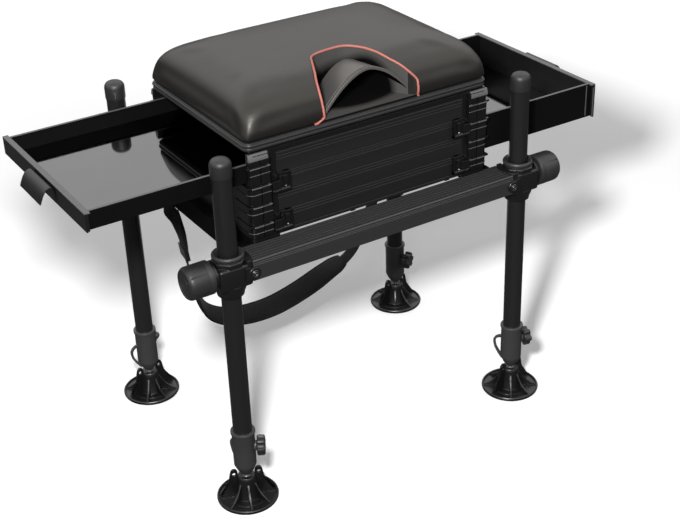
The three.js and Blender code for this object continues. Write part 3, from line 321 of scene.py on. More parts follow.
TUBE = tube_finish()
PLASTIC = plastic_finish("black_plastic", 0.007, 0.34)
COLLAR_PLASTIC = plastic_finish("collar_plastic", 0.028, 0.42)
KNOB_PLASTIC = plastic_finish("knob_plastic", 0.022, 0.42)
SLEEVE_PLASTIC = plastic_finish("sleeve_plastic", 0.046, 0.42)
FOOT_PLASTIC = plastic_finish("foot_plastic", 0.005, 0.36, 1100)
POST_PLASTIC = plastic_finish("post_plastic", 0.005, 0.26)
# The corner tabs: lightened all over as painted light, for their top faces catching the light.
TAB_PAINTED_LIGHT = plastic_finish("tab_plastic_painted_light", 0.11, 0.5)
# The corner lips: the posts' black plastic made much lighter, a painted highlight.
LIP_PAINTED_HIGHLIGHT = plastic_finish("lip_plastic_painted_highlight", 0.075, 0.26)
LID_PLASTIC = plastic_finish("lid_plastic", 0.022, 0.4)
# Light grey strips on the tray edges: painted highlights.
RIM_PAINTED_HIGHLIGHT = plastic_finish("rim_painted_highlight", 0.085, 0.34)
# Black plastic for the side bars, made darker and duller still as painted shade where they hang under the
# trays.
BAR_PAINTED_SHADE = plastic_finish("bar_black_painted_shade", 0.002, 0.6, shine=0.08)
# Near-black, dull copy for the loop's inward faces: painted shade.
UNDERSIDE_PAINTED_SHADE = plastic_finish("loop_underside_painted_shade", 0.0015, 0.7, shine=0.04)
# Lighter plastic for thin strips on the panel ribs: painted glints.
PAINTED_GLINT = plastic_finish("rib_painted_glint", 0.03, 0.3)
END_PLASTIC = plastic_finish("end_plastic", 0.006, 0.4, 900)
RUBBER = plastic_finish("cap_rubber", 0.018, 0.44, 2200, 0.0004)
RAIL = rail_finish()
PANEL = panel_finish()
TRAY = tray_finish()
TRAY_FLOOR = tray_floor_finish()
LEATHER = leather_finish()
# The carry loop's leatherette, lightened as painted light on its lit top.
LOOP_LEATHER_PAINTED_LIGHT = leather_finish("loop_leatherette_painted_light", 0.09, (1.05, 1.0, 0.96))
RECESS_PAINTED_LIGHT_AND_SHADE = recess_paint_finish()
PIPING = piping_finish()
WEBBING = webbing_finish()
PAD_WEBBING = webbing_finish("pad_webbing", 0.005, 900)
STEEL = steel_finish()
RIVET = steel_finish("latch_rivet", 0.5)
THREAD = thread_finish()


# Mesh helpers

class Shape:
    """Points and faces gathered from simple forms, in millimetres."""

    def __init__(self):
        self.points, self.faces = [], []

    def add(self, points, faces, place=None):
        start = len(self.points)
        place = place or Matrix.Identity(4)
        self.points += [place @ Vector(p) for p in points]
        self.faces += [[start + i for i in face] for face in faces]
        return self

    def join(self, other):
        return self.add(other.points, other.faces)

    def block(self, x, y, z, place):
        (x0, x1), (y0, y1), (z0, z1) = sorted(x), sorted(y), sorted(z)
        points = [(a, b, c) for c in (z0, z1) for a, b in ((x0, y0), (x1, y0), (x1, y1), (x0, y1))]
        faces = [[3, 2, 1, 0], [4, 5, 6, 7], [0, 1, 5, 4], [1, 2, 6, 5], [2, 3, 7, 6], [3, 0, 4, 7]]
        return self.add(points, faces, place)

    def rings(self, rings, place=None, closed=False):
        """A skin over rings of points, capped at both ends or closed into a loop."""
        count = len(rings[0])
        points = [p for ring in rings for p in ring]
        faces = []
        for level in range(len(rings) - (0 if closed else 1)):
            low, high = level * count, ((level + 1) % len(rings)) * count
            for step in range(count):
                nxt = (step + 1) % count
                faces.append([low + step, low + nxt, high + nxt, high + step])
        if not closed:
            faces.append(list(range(count))[::-1])
            faces.append([(len(rings) - 1) * count + step for step in range(count)])
        return self.add(points, faces, place)

    def stack(self, outline, levels, place, closed=False):
        """An outline in X and Y, at a scale and a height for each level."""
        rings = [[(x * scale, y * scale, z) for x, y in outline] for scale, z in levels]
        return self.rings(rings, place, closed)

    def turned(self, profile, place, segments=48, closed=False):
        """A turned form from (radius, height) pairs; ends on the axis are closed by a flat face."""
        return self.stack(circle(segments), [(max(r, 0.01), z) for r, z in profile], place, closed)

    def rod(self, radius, low, high, place, segments):
        return self.turned([(0, low), (radius, low), (radius, high), (0, high)], place, segments)

    def band(self, inner, outer, low, high, place, segments=48):
        profile = [(inner, low), (outer, low), (outer, high), (inner, high)]
        return self.turned(profile, place, segments, closed=True)

    def prism(self, outline, low, high, place):
        """An outline in X and Y, run along Z."""
        return self.stack(outline, ((1, low), (1, high)), place)


def circle(count, start=0.0):
    turns = [2 * math.pi * (step + start) / count for step in range(count)]
    return [(math.cos(a), math.sin(a)) for a in turns]


ALONG_X = Matrix(((0, 0, 1, 0), (1, 0, 0, 0), (0, 1, 0, 0), (0, 0, 0, 1)))
ALONG_Y = Matrix(((1, 0, 0, 0), (0, 0, -1, 0), (0, 1, 0, 0), (0, 0, 0, 1)))


def move(x, y, z):
    return Matrix.Translation((x, y, z))


def spin(degrees):
    return Matrix.Rotation(math.radians(degrees), 4, "Z")


def mirror(sx, sy):
    return Matrix.Diagonal((sx, sy, 1, 1))


def make_mesh(name, shape, uv=None):
    mesh = bpy.data.meshes.new(name)
    mesh.from_pydata([((p[0] + SHIFT) * MM, p[1] * MM, p[2] * MM) for p in shape.points], [], shape.faces)
    mesh.validate()
    if uv:
        layer = mesh.uv_layers.new(name="UVMap")
        for loop in mesh.loops:
            layer.data[loop.index].uv = uv[loop.vertex_index]
    return mesh


def face_outward(mesh):
    work = bmesh.new()
    work.from_mesh(mesh)
    bmesh.ops.recalc_face_normals(work, faces=work.faces)
    work.to_mesh(mesh)
    work.free()


def evaluated(obj):
    """The object's mesh with its modifiers worked in, which then go."""
    mesh = bpy.data.meshes.new_from_object(obj.evaluated_get(bpy.context.evaluated_depsgraph_get()))
    obj.modifiers.clear()
    obj.data = mesh
    return mesh


def piece(
    name, shape, material, body="frame", stands_for=(), bevel=0.0, smooth=35, uv=None,
):
    """Makes one piece of the looks, riding on a body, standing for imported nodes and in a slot."""
    mesh = make_mesh(name, shape, uv)
    face_outward(mesh)
    obj = put(name, mesh)
    mesh.materials.append(material)
    mesh.polygons.foreach_set("use_smooth", [True] * len(mesh.polygons))
    if bevel:
        cut = obj.modifiers.new("edge", "BEVEL")
        cut.width, cut.segments, cut.limit_method = bevel * MM, 2, "ANGLE"
        cut.angle_limit = math.radians(smooth)
        cut.harden_normals = True
    else:
        mesh.set_sharp_from_angle(angle=math.radians(smooth))
    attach(obj, body)
    if stands_for:
        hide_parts(*stands_for)
    return obj


def dress(material, *names):
    for name in names:
        nodes[name].data.materials.clear()
        nodes[name].data.materials.append(material)


def rounded_rect(half_x, half_y, radius, steps=6, side_steps=1, draw=0.0):
    """A rectangle with round corners, whose sides but the front one may be drawn in at their middle."""
    ring = []
    quarters = [(1, 1), (-1, 1), (-1, -1), (1, -1)]
    for quarter, (sx, sy) in enumerate(quarters):
        for step in range(steps + 1):
            angle = math.pi / 2 * (quarter + step / steps)
            ring.append((
                sx * (half_x - radius) + radius * math.cos(angle),
                sy * (half_y - radius) + radius * math.sin(angle),
            ))
        along_x = quarter % 2 == 0
        span = 2 * ((half_x if along_x else half_y) - radius)
        pulled = 0 if quarter == 2 else draw
        for step in range(1, side_steps):
            share = step / side_steps
            along, across = span * (0.5 - share), pulled * math.sin(math.pi * share)
            ring.append(
                (sx * along, sy * (half_y - across)) if along_x else (sx * (half_x - across), sy * along)
            )
    return ring


def between(at, start, stop, first, second):
    return (stop - at) / (stop - start) * first + (at - start) / (stop - start) * second


def smooth_path(points, count):
    """Points spaced evenly along a centripetal curve through the given ones."""
    knots = [Vector(p) for p in points]
    ends = [2 * knots[0] - knots[1], *knots, 2 * knots[-1] - knots[-2]]
    fine = []
    for i in range(1, len(ends) - 2):
        near = ends[i - 1:i + 3]
        t = [0]
        for a, b in zip(near, near[1:]):
            t.append(t[-1] + max((b - a).length, 1e-6) ** 0.5)
        for step in range(24):
            u = t[1] + (t[2] - t[1]) * step / 24
            lines = [between(u, t[k], t[k + 1], near[k], near[k + 1]) for k in range(3)]
            curves = [between(u, t[k], t[k + 2], lines[k], lines[k + 1]) for k in range(2)]
            fine.append(between(u, t[1], t[2], *curves))
    fine.append(knots[-1])
    lengths = [0]
    for a, b in zip(fine, fine[1:]):
        lengths.append(lengths[-1] + (b - a).length)
    spots = []
    at = 0
    for step in range(count + 1):
        goal = lengths[-1] * step / count
        while at < len(fine) - 2 and lengths[at + 1] < goal:
            at += 1
        gap = max(lengths[at + 1] - lengths[at], 1e-9)
        spots.append(fine[at].lerp(fine[at + 1], min(max((goal - lengths[at]) / gap, 0), 1)))
    return spots


def heading(path, i):
    return (path[min(i + 1, len(path) - 1)] - path[max(i - 1, 0)]).normalized()


def tube_along(path, radius, sides):
    """A round cord along a path, with its length and turn as texture places."""
    rings, uv = [], []
    travelled = 0.0
    side = heading(path, 0).orthogonal()
    for i, spot in enumerate(path):
        ahead = heading(path, i)
        side = (side - ahead * side.dot(ahead)).normalized()
        other = ahead.cross(side)
        if i:
            travelled += (spot - path[i - 1]).length
        ring = []
        for s in range(sides):
            angle = 2 * math.pi * s / sides
            ring.append(spot + side * radius * math.cos(angle) + other * radius * math.sin(angle))
            uv.append((travelled * MM, s / sides))
        rings.append(ring)
    return Shape().rings(rings), uv


def ribbon(path, across, widths, thick, crown=0.0, lanes=8):
    """A flat band along a path, with the direction across it and its width at each point."""
    rings, uv = [], []
    travelled = 0.0
    for i, spot in enumerate(path):
        ahead, full = heading(path, i), widths[i]
        wide = (across[i] - ahead * across[i].dot(ahead)).normalized()
        up = ahead.cross(wide)
        if i:
            travelled += (spot - path[i - 1]).length
        ring = []
        for side in (1, -1):
            for lane in range(lanes + 1):
                place = (lane / lanes - 0.5) * side
                edge = 1 - abs(2 * place) ** 6 * 0.7
                rise = side * (thick / 2 + crown * (1 - (2 * place) ** 2)) * edge
                ring.append(spot + wide * (place * full) + up * rise)
                uv.append((travelled * MM, place * full * MM))
        rings.append(ring)
    return Shape().rings(rings), uv


# Legs, caps and feet

def build_legs():
    dome = [(16.1 - 8.6 * (1 - math.cos(a)), 581.5 + 9.6 * math.sin(a)) for a in np.linspace(0, 1.45, 9)]
    for name, sx, sy, sleeve_turn, foot_turn in CORNERS:
        place = move(sx * LEG_X, sy * LEG_Y, 0)
        tube = Shape().band(13.2, 15, 66, 584, place, 64)
        piece(f"leg_{name}", tube, TUBE, f"leg_{name}", [f"leg_tube_{name}"], smooth=50)
        cap = [(15.2, 564), (15.7, 563.6), (16.0, 564.4), *dome, (4.0, 592.4), (0, 592.8)]
        cap = Shape().turned(cap, place, 64)
        piece(f"cap_{name}", cap, RUBBER, f"leg_{name}", [f"leg_cap_{name}"], smooth=50)
        build_sleeve(name, place @ spin(sleeve_turn))
        build_foot(name, place @ spin(foot_turn))


def build_sleeve(name, place):
    """The socket on the leg with its ball, screw boss and loop, and the star knob beside it."""
    ball, screw = 9.7, place @ move(0, 0, 99) @ ALONG_X
    body = Shape().turned([
        (15.3, 129.6), (17.6, 130), (18.2, 129.3), (18.2, 124.6), (17.9, 124), (17.9, 66.5), (17.2, 64.5),
        (12.8, 55), (9.6, 50.6), (8.6, 49.4), (4.6, 48.6), (4.5, 44.6),
        *((ball * math.sin(a), BALL_HEIGHT + ball * math.cos(a)) for a in np.linspace(0.5, math.pi, 12)),
    ], place)
    body.turned([(0, 15), (8.4, 15), (8.4, 19.4), (7.6, 20.2), (0, 20.2)], screw, 24)
    body.turned([(19, 125), (19.4, 125.8), (19.4, 129.2), (19, 130)], place)
    hoop = [
        (-16, 104), (-22, 103.5), (-28, 100), (-31.6, 94), (-31.8, 88), (-29.5, 78), (-23, 66), (-16.5, 57),
        (-12, 57.5), (-14, 63), (-20.5, 70), (-26.2, 80), (-28, 88), (-27.6, 93), (-24.5, 97), (-20, 99),
        (-16, 99),
    ]
    body.prism(hoop, -1.9, 1.9, place @ spin(-45) @ ALONG_Y)
    piece(
        f"sleeve_{name}", body, SLEEVE_PLASTIC, f"sleeve_{name}", [f"foot_sleeve_{name}"],
        bevel=0.5, smooth=32,
    )
    star = []
    for step, (x, y) in enumerate(circle(72)):
        reach = 14.1 + 2.2 * math.tanh(2.4 * math.cos(math.pi * step / 6)) / math.tanh(2.4)
        star.append((reach * x, reach * y))
    knob = Shape().stack(star, [
        (0.86, 20.4), (0.97, 21.2), (1, 23), (1, 30.4), (0.95, 32.4), (0.84, 33.3), (0.6, 33.4), (0.52, 32.4),
    ], screw)
    knob.rod(3, 15.6, 22, screw, 16)
    piece(
        f"star_knob_{name}", knob, KNOB_PLASTIC, f"foot_knob_{name}_body", [f"foot_knob_{name}"],
        smooth=40,
    )


def build_foot(name, place):
    """A disc and a socket, with two tall drilled ears and six low ribs."""
    socket = 10.3
    foot = Shape().turned([
        (0, 0.2), (46.5, 0.2), (48.4, 0.9), (49, 2.6), (49, 5.2), (48, 6.5), (46.6, 6.6), (45.8, 5.6),
        (45.2, 3.4), (30, 3.0), (19.4, 3.2), (18.4, 5), (16.4, 30), (15.2, 37), (14.4, 41.4), (13.2, 42.9),
        (8.2, 43),
        *((socket * math.sin(a), BALL_HEIGHT + socket * math.cos(a)) for a in np.linspace(0.83, math.pi, 9)),
    ], place, 72)
    foot.band(30.4, 32.4, 2.8, 4.8, place)
    for rib in range(8):
        turn = place @ spin(rib * 45) @ ALONG_Y
        if rib % 4 == 0:
            outline = [
                (13.4, 3), (46, 3), (46, 5.6), (40, 9.5), (33, 21), (28.5, 35), (26.4, 46), (24.6, 52.5),
                (22, 55.4), (19, 56), (15.8, 54.4), (14, 51), (13.4, 46),
            ]
            drilled(foot, outline, (19.8, 46.6), 3.1, 1.9, turn)
        else:
            outline = [(13.4, 3), (46, 3), (46, 5.2), (38, 8), (28, 15), (21, 24), (17.5, 31), (13.4, 34)]
            foot.prism(outline, -1.35, 1.35, turn)
    piece(
        f"foot_{name}", foot, FOOT_PLASTIC, f"foot_{name}", [f"mud_foot_{name}"],
        bevel=0.45, smooth=32,
    )


def drilled(shape, outline, middle, radius, half, place):
    """A plate with one round hole, as a strip of faces between the two outlines."""
    middle = Vector(middle)
    corners = [Vector(p) for p in outline]
    dense = [a.lerp(b, step / 6) for a, b in zip(corners, corners[1:] + corners[:1]) for step in range(6)]
    inner = [middle + radius * (point - middle).normalized() for point in dense]
    shape.rings([
        [(x, y, -half) for x, y in dense], [(x, y, half) for x, y in dense],
        [(x, y, half) for x, y in inner], [(x, y, -half) for x, y in inner],
    ], place, closed=True)


# Clamps and their knobs

def build_clamps():
    for name, sx, sy, _, _ in CORNERS:
        base = move(sx * LEG_X, sy * LEG_Y, 0) @ mirror(sx, -sy)
        clamp = Shape()
        levels = [(2.4, 392.6), (0.6, 394.2), (0, 396), (0, 423.6), (0.5, 425.6), (1.6, 427), (3.2, 427.6)]
        clamp.rings([
            [(x - 0.5, y, height) for x, y in rounded_rect(26.5 - inset, 23.7 - inset, 4.6 - inset)]
            for inset, height in levels
        ], base)
        clamp.block((-31, -26), (-22, 22), (397, 426), base)
        flange = [(-18, -23.4), (-25, -23.4), (-29.4, -17), (-31.8, -8.6), (-32.5, 0)]
        flange += [(x, -y) for x, y in reversed(flange[:-1])]
        clamp.stack(flange, [(1, 424), (1, 431.6), (0.985, 432.4), (0.95, 432.7)], base)
        neck = [(24.6, 426), (25.6, 428.4), (25.6, 433.6), (23.8, 435.2), (21, 435.6)]
        clamp.stack(circle(8, 0.5), neck, base)
        clamp.turned([
            (15.4, 395), (24.2, 395), (24.4, 391.6), (23.6, 387), (21.2, 382), (20.6, 378.0), (20.2, 376.2),
            (15.6, 376),
        ], base, 64, closed=True)
        boss = base @ move(26, 0, RAIL_MID) @ ALONG_X
        clamp.turned([(0, 0), (20.2, 0), (20.2, 4.6), (19.4, 5.4), (0, 5.4)], boss, 40)
        cheek = base @ move(0, -23.7, 0) @ ALONG_Y
        clamp.prism([(-28, 402.6), (-14, 401), (-14, 423), (-28, 420.4)], 0, 2.8, cheek)
        bolt_spot = (-28.4, 411.5)
        seat = [(0, 0), (9.8, 0), (9.8, 2.6), (9.0, 3.6), (0, 3.6)]
        clamp.turned(seat, cheek @ move(*bolt_spot, 0), 32)
        piece(f"clamp_body_{name}", clamp, PLASTIC, stands_for=[f"clamp_{name}"], bevel=0.6, smooth=32)
        collar = Shape().turned([
            (15.5, 434.4), (21.8, 434.4), (21.8, 437.0), (23.2, 437.4), (24.2, 438.6), (24.4, 440.4),
            (24.0, 442.2), (22.8, 443.6), (21.2, 443.9), (19.6, 443.2), (18.4, 441.6), (17.2, 438.4),
            (15.5, 437.0),
        ], base, 64, closed=True)
        piece(f"collar_{name}", collar, COLLAR_PLASTIC, smooth=40)
        head = cheek @ move(*bolt_spot, 3.5)
        rim = [(0, 0), (5.2, 0), (5.6, 0.5), (5.6, 1.1), (5.0, 1.6), (4.2, 1.1), (0, 1.0)]
        bolt = Shape().turned(rim, head, 32)
        stub = [(1.6, 0.8), (3.0, 0.8), (3.0, 1.9), (2.6, 2.3), (1.9, 2.3), (1.6, 1.9)]
        bolt.turned(stub, head, 24, closed=True)
        piece(f"clamp_bolt_{name}", bolt, STEEL, bevel=0.2)
        build_clamp_knob(name, move(sx * LEG_X, sy * LEG_Y, RAIL_MID) @ mirror(sx, 1) @ ALONG_X)


def build_clamp_knob(name, place):
    """A plain round knob with five narrow grooves along its side and two rings on its end."""
    dips = [1.2 * max(0.0, math.cos(math.pi * step / 16 + 0.6)) ** 60 for step in range(160)]
    rings = []
    for radius, height in (
        (21.5, 32.2), (24.6, 32.2), (25.4, 32.8), (25.6, 34), (25.6, 40), (25.4, 40.6), (25.4, 41.2),
        (25.6, 41.8), (25.4, 62.0), (25.2, 66.4), (24.6, 68.4), (22.6, 71.2), (21.8, 71.8), (20.8, 71.9),
        (20.3, 71.3), (19.9, 70.9), (0.01, 70.9),
    ):
        grooved = 42 < height < 70
        reach = [radius - dip * grooved for dip in dips]
        rings.append([(x * r, y * r, height) for (x, y), r in zip(circle(160), reach)])
    knob = Shape().rings(rings, place)
    knob.rod(5, 15.6, 33, place, 24)
    for radius in (17.4, 8.0):
        knob.band(radius, radius + 0.9, 70.7, 71.3, place)
    piece(
        f"knob_{name}", knob, KNOB_PLASTIC, f"clamp_knob_{name}_body", [f"clamp_knob_{name}"],
        smooth=30,
    )


# Rails

def build_rails():
    half, low, top = RAIL_HALF_WIDTH, RAIL_LOW, RAIL_TOP
    outline = [(-half, low + 1.2), (-half + 1.2, low), (half - 1.2, low), (half, low + 1.2)]
    for z in (top - 7.5, top - 4.5):
        outline += [(half, z - 0.7), (half - 0.7, z - 0.3), (half - 0.7, z + 0.3), (half, z + 0.7)]
    outline += [(half, top - 1.4), (half - 1.4, top)]
    for groove in range(1, RAIL_GROOVES + 1):
        y = half - groove * 2 * half / (RAIL_GROOVES + 1)
        outline += [(y + 1.7, top), (y + 1.3, top - 2.2), (y - 1.3, top - 2.2), (y - 1.7, top)]
    outline += [(-half + 1.4, top), (-half, top - 1.4)]
    for name, sy in (("front_rail", -1), ("rear_rail", 1)):
        place = move(0, sy * LEG_Y, 0) @ mirror(1, sy) @ ALONG_X
        rail = Shape().prism(outline, -RAIL_HALF_LENGTH, RAIL_HALF_LENGTH, place)
        piece(f"{name}_bar", rail, RAIL, "frame", [name], bevel=0.35, smooth=25)


# Box: corner armour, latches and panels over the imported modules

LIPS = [459.0, 490.0, 521.0, 552.0]
POSTS = ((178.2, 193.4), (194.6, BOX_X))


def build_corners():
    for sx in (-1, 1):
        for sy in (-1, 1):
            side = f"{'front' if sy < 0 else 'rear'}_{'left' if sx < 0 else 'right'}"
            place = move(0, BOX_MID, 0) @ mirror(sx, -sy)
            armour, lips = Shape(), Shape()
            for low, high in zip([437.0, *LIPS], [*LIPS, 566.0]):
                has_side = not (sx < 0 and low > 520) and not (sx > 0 and 466 < low < 524)
                corner_block(armour, low, high, has_side, place)
                if high in LIPS:
                    corner_lip(lips, high, has_side, place)
                    corner_lip(lips, high - 10.5, has_side, place, 0.5)
            armour.block((175.8, 177.2), (-BOX_Y - 4.4, -BOX_Y + 0.5), (484, 563), place)
            piece(f"corner_{side}", armour, POST_PLASTIC, bevel=0.6, smooth=30)
            # The lips along each segment's top, and the line below it, carry a painted highlight.
            piece(f"corner_lips_{side}", lips, LIP_PAINTED_HIGHLIGHT, smooth=50)
            # The tab's light grey is painted light on its upward-facing top.
            tab = Shape()
            tab.rings([
                [(181, front, h) for front in (-BOX_Y + 0.5, -BOX_Y - proud)]
                + [(213, front, h) for front in (-BOX_Y - proud, -BOX_Y + 0.5)]
                for proud, h in ((4.6, 562.6), (5.0, 563.6), (4.8, 566), (2.6, 572.6), (1.6, 573.8))
            ], place)
            piece(f"corner_tab_{side}", tab, TAB_PAINTED_LIGHT, bevel=0.8, smooth=30)


def corner_ring(left, right, proud, height, wraps):
    """One level of a corner piece: straight in front, or carried round the corner."""
    front = -BOX_Y
    if wraps:
        radius, beside, depth = 7.0, min(proud, 2.4), 38
        ring = [(left, front + 0.5), (left, front - proud)]
        for step in range(9):
            angle = math.pi / 2 * (step / 8 - 1)
            ring.append((
                BOX_X - radius + (radius + beside) * math.cos(angle),
                front + radius + (radius + proud) * math.sin(angle),
            ))
        ring += [(BOX_X + beside, front + depth), (BOX_X - 0.5, front + depth)]
        ring += [(BOX_X - 0.5, front + 6), (BOX_X - 6, front + 0.5)]
    else:
        ring = [(left, front + 0.5), (right, front + 0.5), (right, front - proud), (left, front - proud)]
    return [(x, y, height) for x, y in ring]


def corner_band(shape, levels, has_side, place):
    """Both posts of a corner at the given (proud, height) levels, the outer one up to the box's side."""
    for (left, right), steps in zip(POSTS, levels):
        wraps = right == BOX_X and has_side
        edge = min(right, BOX_X - 1)
        shape.rings([corner_ring(left, edge, proud, height, wraps) for proud, height in steps], place)


def corner_block(armour, low, high, has_side, place):
    top = high - 0.8
    steps = [(1.6, low + 1.0), (2.4, low + 2.2), (2.8, top - 9.6), (3.2, top - 3.6), (3.2, top)]
    corner_band(armour, (steps, steps), has_side, place)


def corner_lip(lips, high, has_side, place, scale=1.0):
    """A rounded lip along the top of a segment."""
    root, half = 2.6, 1.3
    turns = [math.pi * step / 6 for step in range(7)]
    corner_band(lips, [[
        (root + (full - root) * (0.35 + 0.65 * scale) * math.sin(a), high - half - half * scale * math.cos(a))
        for a in turns
    ] for full in (3.9, 4.9)], has_side, place)


def build_latches():
    for side, sx in (("left", -1), ("right", 1)):
        for level, pivot in (("upper", 507.2), ("lower", 444.7)):
            place = move(0, BOX_MID, 0) @ mirror(sx, 1)
            front = -BOX_Y - 3.7
            low, high = pivot - 3.2, pivot + 28.6
            lever = Shape()
            for x, proud, sunk, z in (
                ((147, 166), 1.2, 3.3, (low, high)),
                ((147, 149.2), 3.2, 0, (low, high)),
                ((149, 159), 3.4, 3.2, (high - 3.0, high)),
                ((163.4, 166), 2.6, 0, (low + 4, high - 6)),
                ((153, 159.4), 3.4, 0, (low + 9.6, high - 6.4)),
                ((149, 166), 2.4, 0, (low, low + 3.2)),
                ((165.5, 177.6), 2.8, 3.2, (low + 6.6, low + 20.4)),
                ((165.5, 177.6), 3.4, 0, (low + 18.6, low + 20.4)),
            ):
                lever.block(x, (front - proud, front + sunk), z, place)
            roll = place @ move(0, front, pivot) @ ALONG_X
            for r, start, stop, sides in ((3.3, 147, 168.1, 24), (3.3, 173.9, 177, 24), (1.6, 148, 176, 16)):
                lever.rod(r, start, stop, roll, sides)
            piece(
                f"latch_{level}_{side}_lever", lever, POST_PLASTIC, f"latch_{level}_{side}_body",
                [f"latch_{level}_{side}"], bevel=0.5, smooth=30,
            )
            rivet = Shape().turned(
                [(0, 0), (1.7, 0), (1.7, 1.0), (1.2, 1.6), (0, 1.8)],
                place @ move(156.2, front - 2.0, low + 9.0) @ ALONG_Y, 20,
            )
            body = f"latch_{level}_{side}_body"
            piece(f"latch_{level}_{side}_rivet", rivet, RIVET, body)


def build_panels():
    rows = {
        "base": (435.0, 463.5, [440.2, 461.8]),
        "drawer": (463.8, 526.0, [466.6, 471.0, 493.5, 498.0, 502.5, 523.9]),
        "top": (526.3, 566.8, [529.0, 532.5, 555.0, 559.5, 565.0]),
    }
    rib = [
        (0, 1.5), (1.0, 1.2), (1.0, 0.8), (-0.3, 0.5), (-0.5, 0.2), (-0.5, -0.3), (-0.2, -0.5), (1.0, -0.8),
        (1.0, -1.1), (0, -1.5),
    ]
    back, face = -BOX_Y + 4.2, -BOX_Y
    for name, (low, high, ribs) in rows.items():
        outline = [(back, low), (back, high), (face + 0.3, high), (face, high - 0.3)]
        outline += [(face + y, height + z) for height in reversed(ribs) for y, z in rib]
        outline += [(face, low + 0.3), (face + 0.3, low)]
        for side, sy in (("front", -1), ("rear", 1)):
            place = move(0, BOX_MID, 0) @ mirror(1, -sy)
            painted_glints = Shape()
            # Thin lighter strips along each rib: painted glints where the ribs would catch the light.
            for height in ribs:
                painted_glints.block((-166.4, 166.4), (face - 0.75, face), (height - 0.25, height + 0.2), place)
            piece(f"{name}_edges_{side}", painted_glints, PAINTED_GLINT)
            panel = Shape().prism(outline, -166.6, 166.6, place @ ALONG_X)
            piece(
                f"{name}_panel_{side}", panel, PANEL, "frame", [f"{name}_{side}_panel"],
                smooth=20,
            )


# Trays: folded boxes with a mirror-like floor, and end plates with a pull

TRAY_LENGTH = 395


def build_trays():
    dress(TRAY, "side_tray", "side_drawer")
    for name, sx, face, low, high in (
        ("tray", -1, 462.0, 528.6, 556.6), ("drawer", 1, 440.0, 466.1, 524.1),
    ):
        place = move(0, BOX_MID, 0) @ mirror(sx, 1)
        outer = face - 2.9
        inner = outer - TRAY_LENGTH
        sheet = Shape().block((inner + 3, outer - 0.4), (-148.6, 148.6), (low + 2.0, low + 2.5), place)
        piece(f"{name}_floor_sheet", sheet, TRAY_FLOOR, name)
        edge = (high - 0.2, high + 0.5)
        # Lighter strips along the top edges and, on the drawer, down its walls by the end: painted highlights
        # where the edges catch the light.
        painted_rim_highlights = Shape()
        for sy in (-1, 1):
            painted_rim_highlights.block((inner + 2, outer - 0.2), (sy * 150.9, sy * 146.4), edge, place)
            if name == "drawer":
                painted_rim_highlights.block((face - 14, face - 11.6), (sy * 151.4, sy * 150.6), (low + 3, high - 1.5), place)
                painted_rim_highlights.block((face - 5, face - 2.6), (sy * 158.5, sy * 157.7), (low + 2, high - 5), place)
        painted_rim_highlights.block((inner, inner + 4), (-150.9, 150.9), edge, place)
        painted_rim_highlights.block((face - 8.6, face + 0.2), (-157.6, 157.6), (high - 1.2, high + 0.6), place)
        piece(f"{name}_rims", painted_rim_highlights, RIM_PAINTED_HIGHLIGHT, name, bevel=0.4)
        plate = Shape()
        plate.block((face - 2.6, face), (-158, 158), (low, high), place)
        for sy in (-1, 1):
            plate.block((face - 5.4, face - 1), (sy * 157.8, sy * 156.6), (low + 1, high - 0.6), place)
        pull_profile(plate, face, high, place)
        piece(
            f"{name}_end_plate", plate, END_PLASTIC, name, [f"side_{name}_end"],
            bevel=0.35, smooth=30,
        )


# The pull's outer line: out from the end plate, and down from its top edge.
PULL_THICK = 2.0
PULL = [
    (-0.4, -25.6), (0.2, -11.6), (1.0, -5.6), (3.0, -3), (6, -1.8), (9.5, -2), (12.5, -3.6), (15.2, -6.2),
    (17.6, -9.6), (19.6, -13.2), (21.4, -17), (23, -21), (24, -24),
]


def pull_profile(plate, face, high, place):
    """The arched pull: a bent strip that stands off the end plate's outer face."""
    over = [(face + x, high + z) for x, z in PULL]
    under = []
    for i, (x, z) in enumerate(over):
        (x0, z0), (x1, z1) = over[max(i - 1, 0)], over[min(i + 1, len(over) - 1)]
        scale = PULL_THICK / math.hypot(x1 - x0, z1 - z0)
        under.append((x + (z1 - z0) * scale, z - (x1 - x0) * scale))
    plate.prism(over + under[::-1], -29, 49, place @ ALONG_Y)


# Cushion: simulated padding, then the recess, the piping and the carry loop

SEAT_X, SEAT_Y = 215.5, 157
CUSHION_LOW, CROWN_TALL = 589.6, 71.0
FOOT_CORNER, MORE_CORNER, DRAWN_IN = 9, 31, 2.5
FILLING_STEPS, FILLING_ROOM, LARGEST_PRESS = 20, 1.6, 0.003
CROWN = [
    (0, 0), (-1.4, 5), (-1.8, 12), (-1.5, 20), (0.2, 31), (3.2, 41), (9.5, 50.6), (19, 57.6), (36, 63),
    (60, 67), (95, 70), (140, 71),
]


def cushion_shape(shrink):
    """The cushion's crown, made smaller by what its filling adds."""
    rings = []
    for inset, rise in CROWN:
        share = min(rise / CROWN_TALL * 1.2, 1)
        radius = min(FOOT_CORNER + MORE_CORNER * share ** 1.4, SEAT_Y - inset)
        draw = DRAWN_IN * math.sin(math.pi * min(rise / CROWN_TALL * 1.4, 1))
        ring = rounded_rect(SEAT_X - inset - shrink, SEAT_Y - inset - shrink, radius, 8, 24, draw)
        rings.append([(x, y + BOX_MID, CUSHION_LOW + rise * (1 - shrink / CROWN_TALL)) for x, y in ring])
    return Shape().rings(rings)


